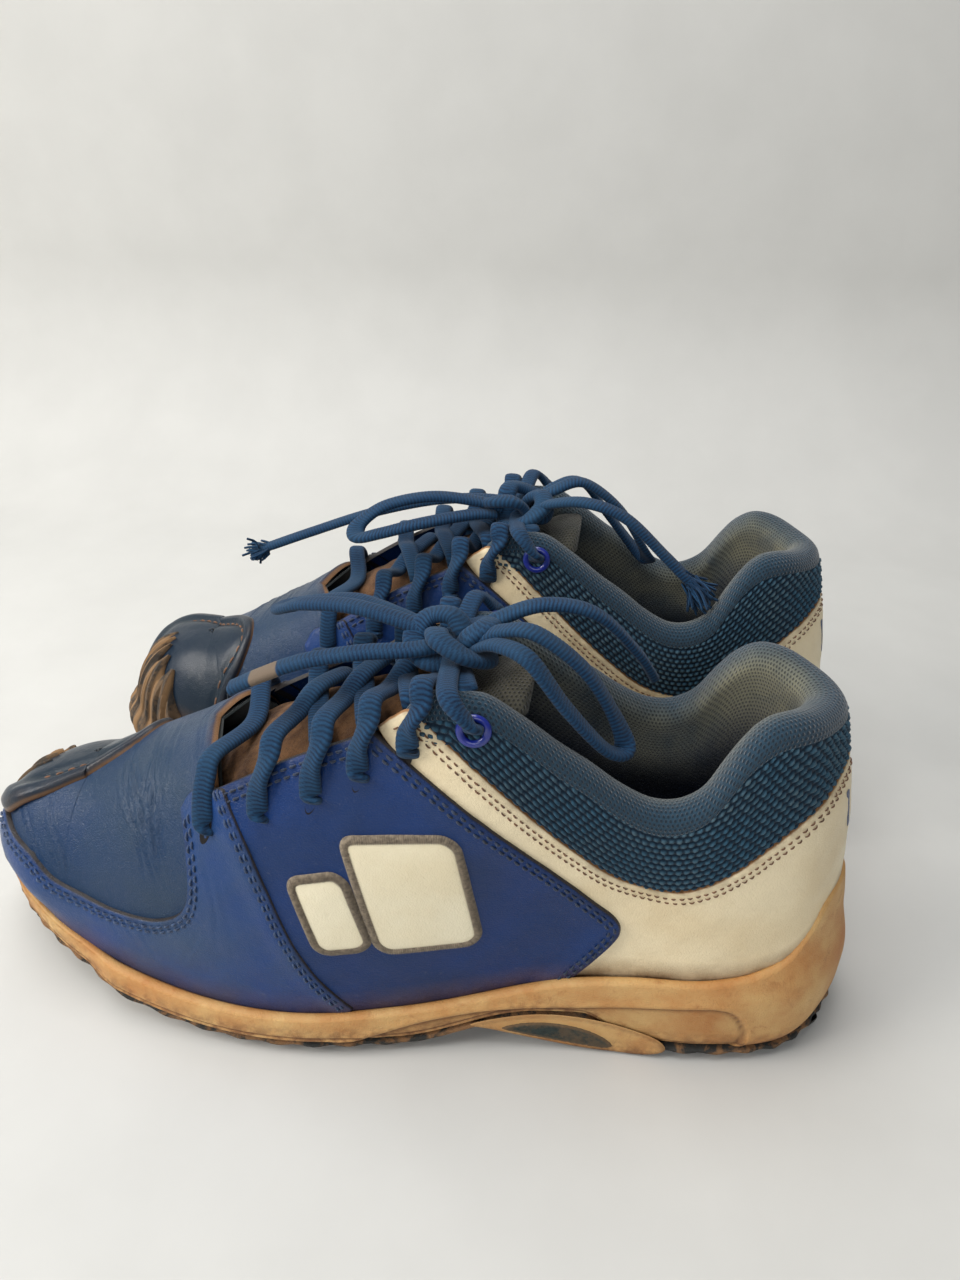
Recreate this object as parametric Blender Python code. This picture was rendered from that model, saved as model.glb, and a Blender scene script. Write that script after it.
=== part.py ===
"""A pair of low-cut lace-up turf trainers, standing side by side with the toes towards -X.

Every sub-part is worked out once in "last" coordinates, in millimetres: a runs from the back of
the heel to the toe, y is negative on the outer (lateral) side of the foot, z is up from the
ground. place() turns that into the left shoe, and its mirror image into the right shoe.
"""

import math

import bmesh
import bpy
import numpy as np

MM = 0.001

# Driving dimensions, in millimetres.
LENGTH = 280.0
SHOE_SPACING = 89.5  # between the two heel centre lines
SHOE_STAGGER = 8.0  # how far the right shoe stands behind the left one
GAP = 0.35  # clearance between neighbouring solids

LUG_HEIGHT = 3.0
OUTSOLE_PLATE = 2.0
SHANK_THICKNESS = 1.4
TOE_SPRING = 18.0
ARCH_RISE = 10.0
BALL_START = 168.0  # the sole leaves the ground in front of this
UPPER_INSET = 9.9  # from the sole's outline to the inside of the lining
HALF_GIRTH = 300.0  # the upper's length round one side, from heel to toe

# The upper's layers, measured outwards from the inside of the lining.
LINING = (0.0, 0.7)
PUFF = (1.1, 1.6)
COUNTER = (1.5, 2.7)
VAMP = (1.9, 2.8)
COLLAR_FOAM = (2.3, 3.3)
COVER = (3.8, 4.9)
OVERLAY = (3.8, 4.9)
CAP = (4.15, 5.3)
PATCH = (5.3, 6.3)

HEEL_POLE = (36.0, 0.0)
TOE_POLE = (238.0, 6.0)
HEEL_LEAN = 9.0  # how far the heel's wall leans forward at the collar
COLLAR_SWELL = 3.0  # how far the collar's padding stands proud

# The sole's outline seen from above, as (a, y): the outer side, then the inner side back.
OUTER_SIDE = [(0, 0), (6, -15), (19, -27.5), (43, -33.5), (73, -34), (100, -36), (133, -42.5),
              (163, -47.5), (195, -46.5), (230, -39), (254, -28.5), (272, -14)]
INNER_SIDE = [(280, 5), (275, 21), (258, 34.5), (230, 41.5), (192, 42.5), (150, 37),
              (105, 31.5), (60, 32.5), (24, 29), (6, 16)]

# Heights along the shoe, as (a, z).
PLATFORM_LINE = [(0, 20), (60, 20), (90, 18.5), (130, 13), (165, 9.5), (280, 9.5)]
LIP_LINE = [(0, 56), (8, 54), (16, 44), (22, 37), (30, 33), (42, 30.5), (66, 29), (82, 27),
            (95, 24), (121, 18), (148, 15), (168, 14.3), (280, 14.3)]
RIDGE_LINE = [(36, 135), (112, 135), (128, 126), (140, 121), (150, 116), (166, 106),
              (178, 98), (192, 87), (205, 79), (223, 69), (238, 62)]
SQUARENESS = [(36, 4.0), (118, 4.0), (135, 3.6), (150, 2.9), (178, 2.8), (195, 2.6), (238, 2.3)]


# ---------------------------------------------------------------- curves and surfaces

def along(line, at):
    """A height read from a list of (position, value) points, eased between them."""
    xs, ys = np.array(line, float).T
    slope = np.gradient(ys, xs)
    at = np.clip(np.asarray(at, float), xs[0], xs[-1])
    i = np.clip(np.searchsorted(xs, at) - 1, 0, len(xs) - 2)
    span = xs[i + 1] - xs[i]
    t = (at - xs[i]) / span
    rise = ys[i + 1] - ys[i]
    start = np.clip(slope[i] * span, -3 * abs(rise), 3 * abs(rise))
    end = np.clip(slope[i + 1] * span, -3 * abs(rise), 3 * abs(rise))
    return ((2 * t**3 - 3 * t**2 + 1) * ys[i] + (t**3 - 2 * t**2 + t) * start
            + (3 * t**2 - 2 * t**3) * ys[i + 1] + (t**3 - t**2) * end)


def smoothstep(low, high, at):
    t = np.clip((np.asarray(at, float) - low) / (high - low), 0, 1)
    return t * t * (3 - 2 * t)


def catmull(points, steps, closed=False):
    """A smooth curve through the points, with this many steps between two of them."""
    p = np.array(points, float)
    if closed:
        p = np.vstack([p[-1], p, p[0], p[1]])
    else:
        p = np.vstack([2 * p[0] - p[1], p, 2 * p[-1] - p[-2]])
    out = []
    for i in range(1, len(p) - 2):
        for t in np.arange(steps) / steps:
            m0 = (p[i + 1] - p[i - 1]) / 2
            m1 = (p[i + 2] - p[i]) / 2
            out.append((2 * t**3 - 3 * t**2 + 1) * p[i] + (t**3 - 2 * t**2 + t) * m0
                       + (3 * t**2 - 2 * t**3) * p[i + 1] + (t**3 - t**2) * m1)
    if not closed:
        out.append(p[-2])
    return np.array(out)


OUTLINE = catmull(OUTER_SIDE + INNER_SIDE, 40, closed=True)
TIP = int(np.argmax(OUTLINE[:, 0]))


def inset_outline(distance):
    """The sole's outline moved inwards, as dense (a, y) points starting at the heel."""
    step = np.roll(OUTLINE, -1, 0) - np.roll(OUTLINE, 1, 0)
    step /= np.linalg.norm(step, axis=1)[:, None]
    return OUTLINE + np.stack([-step[:, 1], step[:, 0]], 1) * distance


def sides(distance):
    """The inset outline as two curves from the heel to the toe: outer side and inner side."""
    ring = inset_outline(distance)
    return ring[:TIP + 1], np.vstack([ring[TIP:], ring[:1]])[::-1]


def resample(curve, fractions):
    length = np.concatenate([[0], np.cumsum(np.linalg.norm(np.diff(curve, axis=0), axis=1))])
    want = np.asarray(fractions, float) * length[-1]
    return np.stack([np.interp(want, length, curve[:, k]) for k in range(curve.shape[1])], 1)


def spring(a):
    return TOE_SPRING * np.clip((np.asarray(a, float) - BALL_START) / (LENGTH - BALL_START), 0, 1.1)**1.9


def base_height(a):
    """The underside of the outsole's plate, above the lugs."""
    arch = ARCH_RISE * smoothstep(64, 80, a) * (1 - smoothstep(92, 134, a))
    heel = 4.5 * np.clip((22 - np.asarray(a, float)) / 22, 0, 1)**1.6
    return LUG_HEIGHT + spring(a) + arch + heel


def platform(a):
    return along(PLATFORM_LINE, a) + spring(a)


def lip(a):
    return along(LIP_LINE, a) + spring(a)


def feather(a):
    """The bottom edge of the upper, which clears the platform's rise towards the toe."""
    return platform(a) + 0.6 + 2.4 * smoothstep(196, 262, a)


UPPER_OUTER, UPPER_INNER = sides(UPPER_INSET)
UPPER_RING = inset_outline(UPPER_INSET)


def axis_point(a):
    """The point on the shoe's spine that the wall at a leans towards."""
    along_spine = np.clip(a, HEEL_POLE[0], TOE_POLE[0])
    across = TOE_POLE[1] * smoothstep(150, TOE_POLE[0], along_spine)
    return along_spine, across


def pole_radius(pole, angle):
    around = UPPER_RING - np.array(pole)
    angles = np.arctan2(around[:, 1], around[:, 0])
    order = np.argsort(angles)
    return np.interp(angle, angles[order], np.linalg.norm(around, axis=1)[order], period=2 * math.pi)


def reach(a, y):
    """How far (a, y) lies from the spine towards the outline, from 0 to 1, and its spine point."""
    a = np.asarray(a, float)
    y = np.asarray(y, float)
    spine, across = axis_point(a)
    outer = np.abs(np.interp(spine, UPPER_OUTER[:, 0], UPPER_OUTER[:, 1]) - across)
    inner = np.abs(np.interp(spine, UPPER_INNER[:, 0], UPPER_INNER[:, 1]) - across)
    middle = np.abs(y - across) / np.where(y < across, outer, inner)
    fan = middle
    for pole, beyond in ((HEEL_POLE, a < HEEL_POLE[0]), (TOE_POLE, a > TOE_POLE[0])):
        da = a - pole[0]
        dy = y - pole[1]
        polar = np.hypot(da, dy) / pole_radius(pole, np.arctan2(dy, da))
        fan = np.where(beyond, polar, fan)
    return fan, spine


def lean(a, z):
    """How far the heel's wall is shifted forwards at height z."""
    return HEEL_LEAN * smoothstep(40, 115, z) * (1 - smoothstep(24, 90, a))


def level(a, y, z):
    """Zero on the inside of the lining, positive outside it."""
    a = a - lean(a - HEEL_LEAN / 2, z)
    p, spine = reach(a, y)
    low = feather(a)
    h = np.clip((z - low) / (along(RIDGE_LINE, spine) - low), 0, 2)
    return p**along(SQUARENESS, spine) + h**2 - 1


def outward(points):
    """Unit normals of the upper at points near its surface."""
    step = 0.4
    a, y, z = points.T
    slope = np.stack([level(a + step, y, z) - level(a - step, y, z),
                      level(a, y + step, z) - level(a, y - step, z),
                      level(a, y, z + step) - level(a, y, z - step)], 1)
    return slope / np.linalg.norm(slope, axis=1)[:, None]


def crown(a, y):
    """Points of the upper straight above the plan positions (a, y)."""
    p, spine = reach(a, y)
    low = feather(a)
    h = np.sqrt(np.clip(1 - p**along(SQUARENESS, spine), 0, 1))
    return np.stack([a, y, low + (along(RIDGE_LINE, spine) - low) * h], -1)


def wall(q, z):
    """Points of the upper at height z. q runs 0 to 1 from heel to toe, and is negative outside."""
    q, z = np.broadcast_arrays(np.asarray(q, float), np.asarray(z, float))
    foot = np.where((q < 0)[..., None], side_point(UPPER_OUTER, np.abs(q)),
                    side_point(UPPER_INNER, np.abs(q)))
    spine, across = axis_point(foot[..., 0])
    low = feather(foot[..., 0])
    h = np.clip((z - low) / (along(RIDGE_LINE, spine) - low), 0, 0.995)
    p = (1 - h**2)**(1 / along(SQUARENESS, spine))
    centre = np.stack([spine, across], -1)
    plan = centre + (foot - centre) * p[..., None]
    plan[..., 0] += lean(plan[..., 0], z)
    return np.concatenate([plan, z[..., None]], -1)


def side_point(curve, fraction):
    flat = resample(curve, np.ravel(fraction))
    return flat.reshape(np.shape(fraction) + (2,))


def q_at(a, side):
    """The q of the wall whose foot is at a, on the outer (-1) or the inner (+1) side."""
    curve = UPPER_OUTER if side < 0 else UPPER_INNER
    length = np.concatenate([[0], np.cumsum(np.linalg.norm(np.diff(curve, axis=0), axis=1))])
    return side * np.interp(a, curve[:, 0], length / length[-1])


# ---------------------------------------------------------------- solids

def material(name, colour, roughness, metallic=0.0):
    made = bpy.data.materials.new(name)
    made.use_nodes = True
    shader = made.node_tree.nodes["Principled BSDF"]
    shader.inputs["Base Color"].default_value = (*colour, 1.0)
    shader.inputs["Roughness"].default_value = roughness
    shader.inputs["Metallic"].default_value = metallic
    made.diffuse_color = (*colour, 1.0)
    return made


def to_world(points, side):
    """Last coordinates (mm) to world metres. side is -1 for the left shoe, 1 for the right."""
    p = np.asarray(points, float)
    x = LENGTH / 2 - p[..., 0] + side * SHOE_STAGGER / 2
    y = -side * p[..., 1] + side * SHOE_SPACING / 2
    return np.stack([x, y, p[..., 2]], -1) * MM


LEFT, RIGHT = (-1, "left_"), (1, "right_")


def place(name, points, faces, colour, origin=None, shoes=(LEFT, RIGHT)):
    """Makes left_name and right_name from one set of points and outward faces.

    The object's origin is the given point in last coordinates, or the shoe's middle on the ground.
    """
    for side, prefix in shoes:
        at = to_world(origin, side) if origin is not None else to_world((LENGTH / 2, 0, 0), side)
        mesh = bpy.data.meshes.new(prefix + name)
        mesh.from_pydata((to_world(points, side) - at).tolist(), [], faces)
        body = bmesh.new()
        body.from_mesh(mesh)
        bmesh.ops.remove_doubles(body, verts=body.verts, dist=1e-6)
        bmesh.ops.recalc_face_normals(body, faces=body.faces)
        if body.calc_volume(signed=True) < 0:
            bmesh.ops.reverse_faces(body, faces=body.faces)
        body.to_mesh(mesh)
        body.free()
        mesh.shade_smooth()
        mesh.set_sharp_from_angle(angle=math.radians(40))
        obj = bpy.data.objects.new(prefix + name, mesh)
        obj.location = at
        obj.data.materials.append(material(prefix + name, *colour))
        bpy.context.scene.collection.objects.link(obj)


def grid_faces(rows, columns, offset=0, flip=False):
    faces = []
    for i in range(rows - 1):
        for j in range(columns - 1):
            at = offset + i * columns + j
            face = (at, at + 1, at + columns + 1, at + columns)
            faces.append(face[::-1] if flip else face)
    return faces


def rim_of(rows, columns):
    """The indices round the edge of a grid of points."""
    first = list(range(columns))
    right = [i * columns + columns - 1 for i in range(1, rows)]
    last = [(rows - 1) * columns + j for j in range(columns - 2, -1, -1)]
    left = [i * columns for i in range(rows - 2, 0, -1)]
    return first + right + last + left


def sheet(name, grid, layer, colour, bulge=None, folded=False):
    """A closed shell between two offsets of a grid of points on the upper.

    The bulge lifts the outer face, and lifts the inner face too on the layers outside the vamp.
    """
    flat = grid.reshape(-1, 3)
    normal = outward(flat)
    swell = np.zeros(len(flat)) if bulge is None else np.ravel(bulge)
    inside = flat + normal * (layer[0] + swell * (layer[0] > VAMP[1]))[:, None]
    outside = flat + normal * (layer[1] + swell)[:, None]
    solid_between(name, inside.reshape(grid.shape), outside.reshape(grid.shape), colour,
                  folded=folded)


def solid_between(name, inside, outside, colour, origin=None, folded=False):
    """A closed solid between two grids of points of the same size.

    The last row of a folded grid runs to a point and back, and closes on itself without a rim.
    """
    rows, columns = inside.shape[:2]
    count = rows * columns
    faces = grid_faces(rows, columns) + grid_faces(rows, columns, count, flip=True)
    rim = rim_of(rows, columns)
    last_row = (rows - 1) * columns
    for here, there in zip(rim, rim[1:] + rim[:1]):
        if not (folded and here >= last_row and there >= last_row):
            faces.append((there, here, here + count, there + count))
    points = np.concatenate([inside.reshape(-1, 3), outside.reshape(-1, 3)])
    place(name, points, faces, colour, origin)


def ribbed_panel(ribs, side, across, between, end_gap=0.0):
    """A grid on one side of the upper, between ribs given as (a, z, a, z), low end then high end.

    A height of None stands for the bottom edge of the upper.
    """
    table = []
    for low_a, low_z, high_a, high_z in ribs:
        low_z = float(feather(low_a)) if low_z is None else low_z
        table.append([q_at(low_a, side), low_z, q_at(high_a, side), high_z])
    return q_panel(np.array(table), across, between, 0.0, 0.0, end_gap)


def q_panel(table, across, between, low_gap, high_gap, end_gap):
    """A grid between ribs given as (q, z, q, z), drawn back from its edges by the gaps."""
    rows = []
    count = len(table) - 1
    for k in range(count):
        for t in np.arange(between) / between:
            rows.append(table[k] * (1 - t) + table[k + 1] * t)
    rows.append(table[-1])
    rows = np.array(rows)
    width = np.abs(rows[1:, 0] - rows[:-1, 0]).mean() * HALF_GIRTH
    rows[0] += (rows[1] - rows[0]) * end_gap / max(width, 1)
    rows[-1] += (rows[-2] - rows[-1]) * end_gap / max(width, 1)
    height = np.hypot((rows[:, 2] - rows[:, 0]) * HALF_GIRTH, rows[:, 3] - rows[:, 1])
    v0 = (low_gap / height)[:, None]
    v1 = 1 - (high_gap / height)[:, None]
    v = v0 + (v1 - v0) * np.linspace(0, 1, across + 1)[None, :]
    q = rows[:, 0:1] * (1 - v) + rows[:, 2:3] * v
    z = rows[:, 1:2] * (1 - v) + rows[:, 3:4] * v
    return wall(q, z)


# ---------------------------------------------------------------- the sole

STATIONS = 23


def station_points():
    """The sole's outline at equal steps from heel to toe on each side, with its outward normals."""
    step = np.roll(OUTLINE, -1, 0) - np.roll(OUTLINE, 1, 0)
    step /= np.linalg.norm(step, axis=1)[:, None]
    both = np.hstack([OUTLINE, np.stack([step[:, 1], -step[:, 0]], 1)])
    outer = both[:TIP + 1]
    inner = np.vstack([both[TIP:], both[:1]])[::-1]
    fractions = np.linspace(0, 1, STATIONS + 1)
    return resample(outer, fractions), resample(inner, fractions)


OUTER_STATIONS, INNER_STATIONS = station_points()


def station_side(stations, inset, height):
    plan = stations[:, :2] - stations[:, 2:] * np.reshape(inset, (-1, 1))
    return np.column_stack([plan, height(stations[:, 0])])


def ring(inset, height):
    """A closed loop of points round the sole; inset may be a function of a."""
    halves = []
    for stations in (OUTER_STATIONS, INNER_STATIONS):
        depth = inset(stations[:, 0]) if callable(inset) else np.full(len(stations), inset)
        halves.append(station_side(stations, depth, height))
    return np.vstack([halves[0], halves[1][-2:0:-1]])


def ladder(first):
    """Faces across a loop made by ring(), whose points start at this index."""
    count = 2 * STATIONS
    faces = []
    for j in range(STATIONS):
        face = [first + j, first + j + 1, first + count - j - 1, first + (count - j) % count]
        faces.append(list(dict.fromkeys(face)))
    return faces


def stacked_rings(name, rings, colour, origin=None):
    """A closed solid through loops made by ring(), from its underside round to its top."""
    count = 2 * STATIONS
    faces = ladder(0)
    for k in range(len(rings) - 1):
        for j in range(count):
            here = k * count + j
            after = k * count + (j + 1) % count
            faces.append((here, after, after + count, here + count))
    faces += [face[::-1] for face in ladder((len(rings) - 1) * count)]
    place(name, np.vstack(rings), faces, colour, origin)


def cross_grid(first, last, inset, height, across):
    """Rows of points across the sole, from station first to station last."""
    grid = []
    for j in range(first, last + 1):
        ends = []
        for stations in (OUTER_STATIONS, INNER_STATIONS):
            ends.append(stations[j, :2] - stations[j, 2:] * inset)
        at = (OUTER_STATIONS[j, 0] + INNER_STATIONS[j, 0]) / 2
        row = []
        for t in np.linspace(0, 1, across + 1):
            row.append([*(ends[0] * (1 - t) + ends[1] * t), float(height(at))])
        grid.append(row)
    return np.array(grid)


def station_mean(stations_a):
    """The a that both sides share at the station nearest to each given a."""
    mean = (OUTER_STATIONS[:, 0] + INNER_STATIONS[:, 0]) / 2
    return int(np.argmin(abs(mean - stations_a)))


def make_outsole(colour):
    across = 3
    top = cross_grid(0, STATIONS, 2.6, lambda a: base_height(a) + OUTSOLE_PLATE, across)
    bottom = cross_grid(0, STATIONS, 3.0, base_height, across)
    rows, columns = top.shape[:2]
    count = rows * columns
    points = [*top.reshape(-1, 3), *bottom.reshape(-1, 3)]
    faces = grid_faces(rows, columns)
    for i in range(rows - 1):
        for j in range(across):
            at = count + i * columns + j
            corners = [at, at + columns, at + columns + 1, at + 1]
            here = np.array([points[k] for k in corners])
            middle = here.mean(0)
            size = np.linalg.norm(here[2] - here[0])
            in_arch = 66 < middle[0] < 130
            if in_arch or size < 7 or i in (0, rows - 2):
                faces.append(tuple(corners))
                continue
            start = len(points)
            for corner in here:
                foot = corner + (middle - corner) * 0.2
                foot[2] = base_height(foot[0]) - LUG_HEIGHT
                points.append(foot)
            inner = [start, start + 1, start + 2, start + 3]
            faces.append(tuple(inner))
            for k in range(4):
                after = (k + 1) % 4
                faces.append((corners[k], corners[after], inner[after], inner[k]))
    rim = rim_of(rows, columns)
    for here, after in zip(rim, rim[1:] + rim[:1]):
        faces.append((after, here, here + count, after + count))
    place("outsole", points, faces, colour)


def recess(a):
    """The hollow under the midsole that holds the shank plate."""
    return (SHANK_THICKNESS + 2 * GAP) * smoothstep(56, 66, a) * (1 - smoothstep(124, 136, a))


def midsole_bottom(a):
    return base_height(a) + OUTSOLE_PLATE + GAP + recess(a)


def toe_cut(a):
    """How much further in the midsole stays where the toe bumper wraps it."""
    return 3.0 * smoothstep(222, 238, a)


def make_midsole(colour):
    def middle(a):
        return midsole_bottom(a) * 0.5 + np.minimum(lip(a), 32.0) * 0.5

    rings = [ring(lambda a: 3.4 + toe_cut(a) * 0.8, midsole_bottom),
             ring(lambda a: 0.5 + toe_cut(a), lambda a: midsole_bottom(a) + 3.0),
             ring(lambda a: 0.0 + toe_cut(a), middle),
             ring(lambda a: 1.2 + toe_cut(a) * 0.6, lip),
             ring(lambda a: 3.6 + toe_cut(a) * 0.05, lip),
             ring(3.8, platform)]
    stacked_rings("midsole", rings, colour)


def make_shank_plate(colour):
    first, last = station_mean(70), station_mean(120)

    def low(a):
        return base_height(a) + OUTSOLE_PLATE + GAP

    inside = cross_grid(first, last, 8.0, lambda a: low(a) + SHANK_THICKNESS - GAP, 2)
    outside = cross_grid(first, last, 8.0, low, 2)
    solid_between("shank_plate", inside, outside, colour)


def make_toe_bumper(colour):
    """The ribbed rubber guard that wraps the toe, from the outsole up over the toe cap's edge."""
    ribs = 11
    first = outline_index(256.0, -1)
    last = outline_index(242.0, 1)
    inner_rows, outer_rows = [], []
    count = 2 * ribs
    for k in range(count + 1):
        t = k / count
        s = first + (last - first) * t
        point, normal = outline_at(s)
        a = point[0]
        rib = 0.5 * (1 if k % 2 else -1)
        fade = min(1.0, 6 * min(t, 1 - t))
        top = lip(a) + 3 + 16 * fade * smoothstep(236, 262, a)
        foot = point - normal * UPPER_INSET
        inside, outside = [], []
        for z, depth in ((midsole_bottom(a) + 0.5, 2.4), (lip(a) - 4, 2.2), (lip(a) + 1.5, 2.2)):
            inside.append([*(point - normal * depth), z])
            outside.append([*(point - normal * (0.6 - rib * fade)), z])
        q = foot_q(foot)
        for z in np.linspace(lip(a) + 6, top + 4, 3):
            base = wall(np.array([q]), np.array([z]))
            push = outward(base)
            inside.append((base + push * 6.0)[0])
            outside.append((base + push * (7.4 + rib * fade))[0])
        inner_rows.append(inside)
        outer_rows.append(outside)
    solid_between("toe_bumper", np.array(inner_rows), np.array(outer_rows), colour)


def outline_index(a, side):
    """The index of the outline's point nearest to a on one side of the sole."""
    stations = OUTLINE[:TIP + 1] if side < 0 else OUTLINE[TIP:]
    index = int(np.argmin(abs(stations[:, 0] - a)))
    return index if side < 0 else TIP + index


def outline_at(index):
    """The outline's point and outward normal at a fractional index."""
    index = index % len(OUTLINE)
    k = int(index)
    t = index - k
    here, after = OUTLINE[k], OUTLINE[(k + 1) % len(OUTLINE)]
    before = OUTLINE[(k - 1) % len(OUTLINE)]
    step = (after - before) / np.linalg.norm(after - before)
    return here * (1 - t) + after * t, np.array([step[1], -step[0]])


def foot_q(foot):
    """The q of the wall that stands on this plan point of the upper's outline."""
    best = []
    for side, curve in ((-1, UPPER_OUTER), (1, UPPER_INNER)):
        gap = np.linalg.norm(curve - foot, axis=1)
        length = np.concatenate([[0], np.cumsum(np.linalg.norm(np.diff(curve, axis=0), axis=1))])
        k = int(np.argmin(gap))
        best.append((gap[k], side * length[k] / length[-1]))
    return min(best)[1]


# ---------------------------------------------------------------- under the foot

BOARD = 1.2
FOOTBED_PIVOT = (268.0, 6.0, 31.0)  # the footbed lifts at the heel and hinges at its toe end


def make_insole_board(colour):
    stacked_rings("insole_board", [ring(11.0, lambda a: platform(a) + GAP),
                                   ring(11.0, lambda a: platform(a) + GAP + BOARD)], colour)


def make_footbed(colour):
    def base(a):
        return platform(a) + GAP + BOARD + GAP

    stacked_rings("footbed", [ring(11.9, base),
                              ring(11.3, lambda a: base(a) + 2.0),
                              ring(12.0, lambda a: base(a) + 4.5 + 2 * (1 - smoothstep(40, 110, a))),
                              ring(14.0, lambda a: base(a) + 3.5)], colour, FOOTBED_PIVOT)


# ---------------------------------------------------------------- the upper

def swell(grid):
    """The collar's padding, which fades out towards the toe and towards the sole."""
    a, z = grid[..., 0], grid[..., 2]
    return COLLAR_SWELL * smoothstep(52, 90, z) * (1 - smoothstep(104, 140, a))


def forefoot_grid(first_a, rows, columns, skip=0):
    """Rows across the forefoot over the ridge, from first_a (at the sole's edge) to the toe."""
    q0 = abs(q_at(first_a, -1))
    q1 = abs(q_at(first_a, 1))
    grid = []
    half = columns // 2
    for i in range(skip, rows + 1):
        t = i / rows
        ends = []
        for side, curve, start in ((-1, UPPER_OUTER, q0), (1, UPPER_INNER, q1)):
            ends.append(side_point(curve, np.array(start + (1 - start) * t)))
        spine = THROAT_FRONT + (TOE_POLE[0] - THROAT_FRONT) * min(1.0, t / 0.55)
        centre = np.array([spine, float(axis_point(spine)[1])])
        row = []
        for j in range(columns + 1):
            turn = (j - half) / half
            end = ends[0] if turn < 0 else ends[1]
            cos = math.cos((1 - abs(turn)) * math.pi / 2)
            plan = centre + (end - centre) * cos**(2 / 2.6)
            row.append(plan)
        grid.append(row)
    plan = np.array(grid)
    return crown(plan[..., 0], plan[..., 1])


THROAT_FRONT = 193.0
FOREFOOT_ROWS, FOREFOOT_COLUMNS = 12, 10


def make_forefoot(colours):
    whole = forefoot_grid(179.0, FOREFOOT_ROWS, FOREFOOT_COLUMNS)
    sheet("vamp_lining", whole, LINING, colours["vamp_lining"], folded=True)
    sheet("toe_puff", whole[7:], PUFF, colours["toe_puff"], folded=True)
    sheet("vamp", whole, VAMP, colours["vamp"], folded=True)


# The toe cap's rear seam seen from above, from the outer side to the inner side.
CAP_SEAM = [(258, -15), (246, -14), (234, -8), (222, 2), (214, 12), (213, 22), (219, 31)]


def make_toe_cap(colour):
    """A disc round the toe's pole: rings of points out to the sole in front, to the seam behind."""
    centre = np.array(TOE_POLE)
    seam = catmull(CAP_SEAM, 2)
    start = q_at(256.0, -1)
    end = q_at(224.0, 1)
    front = []
    for t in np.linspace(0, 1, 13):
        # from the inner side round the toe to the outer side
        q = end + (1 - end) * t * 2 if t < 0.5 else -1 + (1 + start) * (t - 0.5) * 2
        side = UPPER_OUTER if q < 0 else UPPER_INNER
        front.append(side_point(side, np.array(abs(q))))
    edge = [*seam, *front]
    rings = 4
    grid = []
    for k in range(1, rings + 1):
        t = math.sin(k / rings * math.pi / 2)**(2 / 2.3)
        grid.append([centre + (point - centre) * t for point in edge])
    plan = np.array(grid)
    around = crown(plan[..., 0], plan[..., 1])
    middle = crown(np.array([centre[0]]), np.array([centre[1]]))
    disc("toe_cap", middle, around, CAP, colour)


def disc(name, middle, around, layer, colour):
    rings, count = around.shape[:2]
    flat = np.concatenate([middle, around.reshape(-1, 3)])
    normal = outward(flat)
    normal[0] = (0, 0, 1)
    size = len(flat)
    points = np.concatenate([flat + normal * layer[1], flat + normal * layer[0]])
    faces = []
    for top, turn in ((0, 1), (size, -1)):
        for j in range(count):
            after = (j + 1) % count
            faces.append((top, top + 1 + j, top + 1 + after)[::turn])
            for k in range(rings - 1):
                here = top + 1 + k * count
                faces.append((here + j, here + count + j, here + count + after, here + after)[::turn])
    outer = 1 + (rings - 1) * count
    for j in range(count):
        after = (j + 1) % count
        faces.append((outer + j, outer + after, outer + after + size, outer + j + size)[::-1])
    place(name, points, faces, colour)


# Panels on the sides of the upper, as ribs (a, z, a, z) from their lower to their upper edge.
MUDGUARD_RIBS = {
    -1: [(147.5, None, 175.5, 89), (158, None, 184, 85.5), (166, None, 192, 78),
         (175, None, 191, 66), (186, None, 199, 51), (206, None, 212, 45),
         (229, None, 232, 44), (248, None, 248, 46)],
    1: [(147.5, None, 175.5, 89), (158, None, 184, 85.5), (166, None, 192, 78),
        (175, None, 191, 66), (184, None, 197, 52), (198, None, 203, 47), (216, None, 214, 46)]}
QUARTER_RIBS = [(146, None, 174, 90.5), (136, None, 166, 96), (127, None, 152, 103.5),
                (118, None, 139, 110), (107, None, 116, 93.5), (98, None, 93, 72.2),
                (91, None, 72, 54.5)]
STRAP_RIBS = [(139, 111.2, 131, 115), (116, 94.7, 107.5, 98), (93, 73.4, 84.5, 78),
              (71.2, 55.7, 68, 68.3), (79.9, 38, 60, 66.5), (90, None, 54, 67.2),
              (66, None, 47, 70.5), (42, None, 41, 74.7), (34, None, 34, 81), (23, None, 23, 89.8),
              (14, None, 14, 96.5)]
COLLAR_RIBS = [(130.5, 115.3, 119, 119), (107.5, 98, 101, 113.8), (84.5, 78, 82, 101.6),
               (68, 68.3, 66, 93.6), (54, 67.2, 52, 95.2), (41, 74.7, 41, 106.5),
               (34, 81, 34, 114), (23, 89.8, 23, 117.6), (14, 96.5, 14, 116.2)]
FOAM_RIBS = [(112, 96, 111, 115.5), (98, 84, 97, 110.6), (84, 68, 82, 100.6), (66, 62, 66, 92.6),
             (52, 61, 52, 94.2), (42, 61, 41, 105.5), (34, 62, 34, 113), (23, 63, 23, 116.6),
             (14, 64, 14, 115.2)]
LINING_RIBS = [(171, None, 173, 88.5), (160, None, 163, 96), (148, None, 150, 103),
               (137, None, 138, 109), (119, None, 119, 118.2), (101, None, 101, 113),
               (84, None, 82, 100.8), (66, None, 66, 92.6), (52, None, 52, 94.2), (42, None, 41, 105.5),
               (34, None, 34, 113), (23, None, 23, 116.6), (14, None, 14, 115.2)]
COUNTER_RIBS = [(78, None, 72, 42), (62, None, 60, 52), (42, None, 42, 56), (34, None, 34, 57),
                (23, None, 23, 58), (14, None, 14, 59)]


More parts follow.
